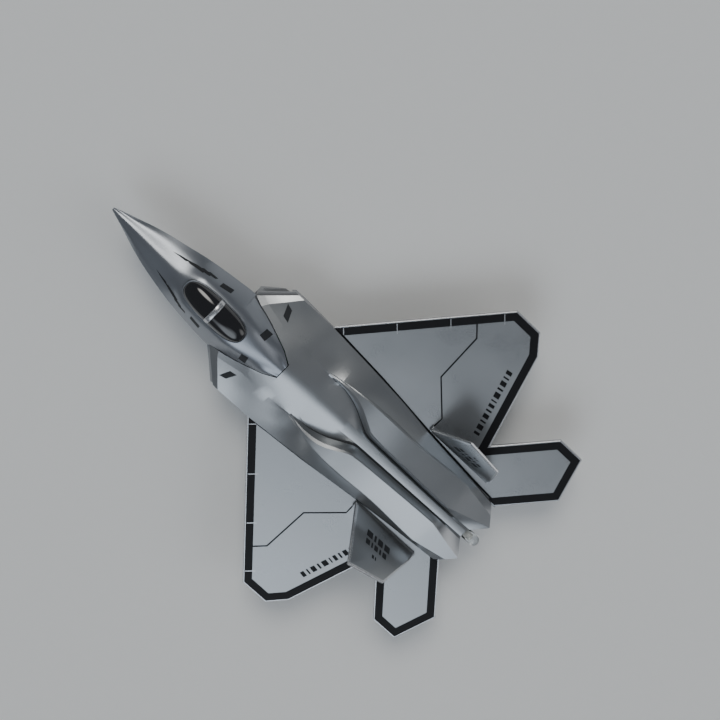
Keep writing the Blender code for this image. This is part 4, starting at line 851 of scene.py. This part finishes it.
# %% [markdown]
# ## Canopy
#
# The canopy is one glossy black dome, pressed down for sound and light. A silver line is printed round its
# foot and a silver bar crosses it. The dome is built as rings that shrink and rise together, like a sliced
# egg, so the reflections run smoothly over it. The bar is thrown onto the dome by rays from inside, so it
# hugs the glass.

# %% Dome, rim and bar
def sill(x):
    return SILL_Z - SILL_FALL * (x - CANOPY_X)


def dome_ring(rise, spread=0.0, lift=0.0):
    shrink, up = math.cos(rise), math.sin(rise)
    return [(CANOPY_X - 2.0 * up + (x - CANOPY_X) * shrink, y * shrink,
             sill(x) * shrink + (SILL_Z - 0.4) * (1 - shrink) + CROWN * up + lift)
            for x, y in canopy_outline(spread)]


dome_rings = [[(x, y, sill(x) - 3.0) for x, y in canopy_outline(0.0)]]
dome_rings += [dome_ring(math.radians(88.0 * k / 22)) for k in range(23)]
dome = make_piece("canopy_dome", skin(dome_rings), [canopy_black], body="canopy")
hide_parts("canopy_button")


def surface_of(piece):
    """A search tree of a piece's own mesh, to throw rays at."""
    build = bmesh.new()
    build.from_mesh(piece.data)
    bmesh.ops.triangulate(build, faces=build.faces)
    tree = BVHTree.FromBMesh(build)
    build.free()
    return tree


dome_surface = surface_of(dome)
rim_rings = []
foot = dome_ring(0.0, lift=0.25)
for i, (x, y, z) in enumerate(foot):
    ahead, behind = foot[(i + 1) % len(foot)], foot[i - 1]
    length = math.hypot(ahead[0] - behind[0], ahead[1] - behind[1])
    out_x, out_y = (ahead[1] - behind[1]) / length, -(ahead[0] - behind[0]) / length
    ring = []
    for k in range(10):
        turn = 2 * math.pi * k / 10
        out, up = 0.22 * math.cos(turn) - 0.02, 0.18 * math.sin(turn)
        ring.append((x + out_x * out, y + out_y * out, z + up))
    rim_rings.append(ring)
make_piece("canopy_rim", skin(rim_rings, looped=True), [nose_silver], body="canopy")

bar_rings = []
for k in range(33):
    turn = math.pi * (k + 0.35) / 32.7
    lifted = []
    for x in (CANOPY_X - 0.9, CANOPY_X - 0.7, CANOPY_X, CANOPY_X + 0.7, CANOPY_X + 0.9):
        heading = Vector((0.0, math.cos(turn), math.sin(turn)))
        hit, normal, _, _ = dome_surface.ray_cast(at(x, 0.0, sill(x) + 0.3), heading)
        lifted.append((hit, normal, x))
    ring = [hit + normal * (0.10 if 0 < i < 4 else 0.01) * MM for i, (hit, normal, _) in enumerate(lifted)]
    ring += [hit - normal * 0.1 * MM for hit, normal, _ in lifted[::-1]]
    bar_rings.append([tuple((p - STATION) / MM) for p in ring])
make_piece("canopy_bar", skin(bar_rings), [silver_print_and_highlight], body="canopy")
print("canopy dressed")

# %% [markdown]
# ## Marks draped over the body
#
# Small dark stickers sit on the body: a diamond on each intake, a square and a bar on each side of the
# canopy, and a row of claw strokes on the cheeks of the nose. Each one is a four-cornered patch in plan. A
# grid over the patch is dropped straight down onto the surface below, and every grid point then stands a
# hair above the paint, so the sticker follows the curve. A raised bead along each hump's outer crest is dropped
# in the same way, and so is a dark grey line of painted shade in the crease at each hump's inner foot.


def draped(name, patches, base, finish, steps=6, lift=0.035):
    surface = surface_of(base)
    points, faces = [], []
    for a, b, c, d in patches:
        start, whole, made = len(points), True, []
        for i in range(steps + 1):
            for k in range(steps + 1):
                u, v = i / steps, k / steps
                x, y = ((1 - u) * ((1 - v) * a[n] + v * d[n]) + u * ((1 - v) * b[n] + v * c[n]) for n in (0, 1))
                hit, normal, _, _ = surface.ray_cast(at(x, y, 40.0), Vector((0.0, 0.0, -1.0)))
                whole = whole and hit is not None
                if whole:
                    made.append(tuple((hit + normal * lift * MM - STATION) / MM))
        if not whole:
            print(name, "has a patch that misses the surface and is left out")
            continue
        points += made
        for i in range(steps):
            for k in range(steps):
                corner = start + i * (steps + 1) + k
                faces.append([corner, corner + 1, corner + steps + 2, corner + steps + 1])
    return make_piece(name, from_faces(points, faces), [finish])


def both_sides(patches):
    return [[(x, side * y) for x, y in patch] for side in (1, -1) for patch in patches]


FLAT_LINE = ((-0.5, 0.03), (0.0, 0.03), (0.5, 0.03))
BEAD_LINE = ((-0.5, -0.06), (-0.36, 0.24), (-0.1, 0.22), (0.5, -0.08))


def draped_line(name, path, widths, base, finish, profile=FLAT_LINE):
    """A line over a surface along plan points, its widths given from tip to tail. The profile lists places
    across the width, from the toy's middle outwards, with their heights in millimetres."""
    surface = surface_of(base)
    points, faces = [], []
    for side in (1, -1):
        start = len(points)
        for i, (x, y) in enumerate(path):
            ahead, behind = path[max(i - 1, 0)], path[min(i + 1, len(path) - 1)]
            run = Vector((ahead[0] - behind[0], ahead[1] - behind[1])).normalized()
            place = i / (len(path) - 1) * (len(widths) - 1)
            low = min(int(place), len(widths) - 2)
            width = widths[low] + (widths[low + 1] - widths[low]) * (place - low)
            for across, lift in profile:
                px, py = x + run.y * width * across, side * (y - run.x * width * across)
                hit, normal, _, _ = surface.ray_cast(at(px, py, 40.0), Vector((0.0, 0.0, -1.0)))
                points.append(tuple((hit + normal * lift * MM - STATION) / MM))
        n = len(profile)
        for i in range(len(path) - 1):
            for k in range(n - 1):
                a = start + n * i + k
                faces.append([a, a + 1, a + n + 1, a + n])
    return make_piece(name, from_faces(points, faces), [finish])


print("draping tools ready")

# %% Diamonds, squares, bars, claws and hump lines
DIAMOND = [(16.6, 17.0), (14.1, 16.3), (12.4, 12.5), (15.0, 13.1)]
SQUARE = [(17.0, 4.4), (16.4, 7.0), (13.6, 6.9), (14.4, 3.9)]
BAR = [(37.4, 6.9), (37.1, 8.2), (32.8, 8.9), (33.0, 7.6)]
CLAWS = [[(56.0, 4.1), (50.6, 4.8), (50.4, 5.6), (53.0, 5.0)],
         [(53.0, 4.7), (47.2, 5.6), (46.9, 6.6), (50.3, 5.6)],
         [(49.9, 5.0), (44.2, 6.2), (43.8, 7.2), (47.4, 6.5)],
         [(47.0, 6.0), (42.0, 6.9), (41.4, 7.7), (44.8, 7.3)],
         [(44.4, 6.9), (39.9, 7.5), (39.2, 8.1), (42.4, 7.9)]]
draped("intake_marks", both_sides([DIAMOND]), deck, grey_ink)
deck_lines = smooth_rows(DECK_ROWS, 1.6, hold=STRAIGHT_SPANS)
OUTER_CREST, VALLEY = 2, 4
crest_path = [(x, y + 0.2) for x, y, _ in (row[OUTER_CREST] for row in deck_lines) if -72.0 < x < -9.0]
foot_path = [(x, y - 0.05) for x, y, _ in (row[VALLEY] for row in deck_lines) if -76.0 < x < -10.5]
draped_line("crest_beads", crest_path, (0.2, 0.9, 1.1, 1.0, 0.8, 0.3), deck, die_cast, BEAD_LINE)
# Painted shade: a dark grey line in the crease along each hump's inner foot.
draped_line("foot_crease_shade", foot_path, (0.1, 0.35, 0.45, 0.45, 0.4, 0.35), deck, crease_shade_grey)
draped("cheek_marks", both_sides([SQUARE, BAR, *CLAWS]), nose, grey_ink)

# %% [markdown]
# ## Tail lamp
#
# A small clear peg with a round end stands between the nozzles. Inside it sits the lamp itself, a small
# white bulb, so that the clear plastic has something to bend.

# %% Lamp
def round_end(x, radius, steps):
    """The profile of a half ball that ends a rod, from its widest ring to its tip."""
    turns = [math.radians(88.0 * k / steps) for k in range(steps + 1)]
    return [(x - radius * math.sin(turn), radius * math.cos(turn)) for turn in turns]


lamp_profile = [(NOZZLE_X + 3.5, 0.05), (NOZZLE_X + 3.5, 1.5), (NOZZLE_X + 3.3, 1.6), (NOZZLE_X - 1.2, 1.6),
                (NOZZLE_X - 1.2, 1.85), (NOZZLE_X - 1.35, 2.0), *round_end(NOZZLE_X - 5.2, 2.0, 12)]
lamp = make_piece("lamp_dome", turned(lamp_profile, (0.0, 0.0, 1.0), "X", 40), [clear_lens])
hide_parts("tail_lamp")
core_profile = [(NOZZLE_X + 2.0, 0.05), (NOZZLE_X + 2.0, 1.1), (NOZZLE_X - 1.8, 1.1), (NOZZLE_X - 1.8, 0.9),
                *round_end(NOZZLE_X - 3.4, 0.9, 8)]
make_piece("lamp_core", turned(core_profile, (0.0, 0.0, 1.0), "X", 28), [gear_white])

# %% [markdown]
# ## Wheels
#
# The two main wheels are rubber tyres on dished hubs, and they drive the spring motor. A tyre is a turned
# profile with rounded shoulders, and its tread is a ring of slanted blocks, cut by moving one point in four
# inwards. A hub is turned with a rim, a dish and a cap, and carries five bolt heads. The nose wheel is a
# small tyre on a web.

# %% Main wheels and nose wheel
AXLE_X, AXLE_Z, WHEEL_R, BOLTS = -50.5, -11.0, 5.5, 5


def treaded(centre, radius, bore, low, high, blocks, cut=0.22):
    """A tyre whose tread is cut by slanted slots; each block takes four steps round the wheel."""
    sides, mid = 4 * blocks, (low + high) / 2
    half = (high - low) / 2
    shape = [(-1.0, bore, 0), (-1.0, radius - 1.1, 0), (-0.94, radius - 0.55, 0), (-0.82, radius - 0.18, 0),
             (-0.66, radius - 0.02, 1), (-0.30, radius, 1), (-0.26, radius - 0.3, 0), (-0.16, radius - 0.3, 0),
             (-0.12, radius, 2), (0.12, radius, 2), (0.16, radius - 0.3, 0), (0.26, radius - 0.3, 0),
             (0.30, radius, 3), (0.66, radius - 0.02, 3), (0.82, radius - 0.18, 0), (0.94, radius - 0.55, 0),
             (1.0, radius - 1.1, 0), (1.0, bore, 0)]
    rings = []
    for i in range(sides):
        angle = 2 * math.pi * i / sides
        ring = []
        for along, r, row in shape:
            slot_here = row and (i + 2 * (row == 2)) % 4 == 3
            reach = r - (cut if slot_here else 0.0)
            twist = angle + (0.05 * along if row else 0.0)
            ring.append((centre[0] + reach * math.cos(twist), centre[1] + mid + half * along,
                         centre[2] + reach * math.sin(twist)))
        rings.append(ring)
    return skin(rings, looped=True)


for name, side in (("port", 1), ("starboard", -1)):
    low, high = sorted((side * 7.4, side * 10.6))
    tread = treaded((AXLE_X, 0.0, AXLE_Z), WHEEL_R, 3.92, low, high, 22)
    tyre = make_piece(f"{name}_tyre", tread, [tyre_rubber], body="rear_axle_set",
                      soften=(0.05, 40.0, 2))
    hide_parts(f"tyre_{name}")
    dish = [(7.0, 0.8), (7.0, 2.0), (7.35, 2.2), (7.35, 3.9), (10.35, 3.9), (10.62, 3.75), (10.62, 3.45),
            (10.35, 3.3), (9.9, 3.1), (9.75, 2.2), (10.1, 1.9), (10.3, 1.3), (10.75, 1.15), (10.8, 1.0),
            (10.8, 0.05)]
    hub = make_piece(f"{name}_hub", turned([(side * a, r) for a, r in dish], (AXLE_X, 0.0, AXLE_Z), "Y", 56),
                     [hub_grey], body="rear_axle_set", soften=(0.08, 25.0, 2))
    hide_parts(f"wheel_hub_{name}")
    for i in range(BOLTS):
        angle = 2 * math.pi * i / BOLTS
        place = (AXLE_X + 2.6 * math.cos(angle), 0.0, AXLE_Z + 2.6 * math.sin(angle))
        bolt = [(side * a, r) for a, r in ((9.6, 0.36), (10.05, 0.36), (10.13, 0.28), (10.13, 0.02))]
        make_piece(f"{name}_bolt_{i + 1}", turned(bolt, place, "Y", 6), [bright_steel], body="rear_axle_set",
                   smooth=False)
nose_centre = (38.5, 0.0, -13.9)
small_tyre = make_piece("nose_tyre", treaded(nose_centre, 2.6, 1.45, -1.2, 1.2, 14, 0.12), [tyre_rubber],
                        body="nose_wheel")
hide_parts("nose_wheel")
web = [(-1.05, 0.62), (-1.05, 1.0), (-0.8, 1.1), (-0.8, 1.5), (0.8, 1.5), (0.8, 1.1), (1.05, 1.0), (1.05, 0.62)]
rings = []
for along, radius in web:
    rings.append([(nose_centre[0] + radius * math.cos(2 * math.pi * i / 32), along,
                   nose_centre[2] + radius * math.sin(2 * math.pi * i / 32)) for i in range(32)])
make_piece("nose_wheel_web", skin(rings, looped=True), [hub_grey], body="nose_wheel")

# %% [markdown]
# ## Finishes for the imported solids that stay
#
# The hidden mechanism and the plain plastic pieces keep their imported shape. They only need a finish. The
# ones with sharp corners have a Bevel node in their finish, which rounds the corners for the light.

# %% Finishes on the rest
KEPT = {
    belly_grey: ("lower_body", "battery_door", "nose_gear_leg"),
    duct_black: ("port_exhaust", "starboard_exhaust", "speaker", "push_switch"),
    motor_blue: ("port_motor_case", "starboard_motor_case"),
    gear_white: ("axle_pinion", "idler_gear", "spring_drum", "switch_plunger"),
    spring_blue: ("mainspring",),
    bright_steel: ("rear_axle", "nose_axle", "door_screw", *(f"body_screw_{i}" for i in range(1, 6))),
    cell_nickel: ("button_cell_1", "button_cell_2", "button_cell_3"),
    contact_brass: ("battery_contact_front", "battery_contact_rear"),
    board_green: ("circuit_board",),
}
for finish, names in KEPT.items():
    for name in names:
        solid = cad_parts[name]
        solid.data.materials.clear()
        solid.data.materials.append(finish)
print("finishes on", sum(len(names) for names in KEPT.values()), "packed solids")

bpy.context.view_layer.update()
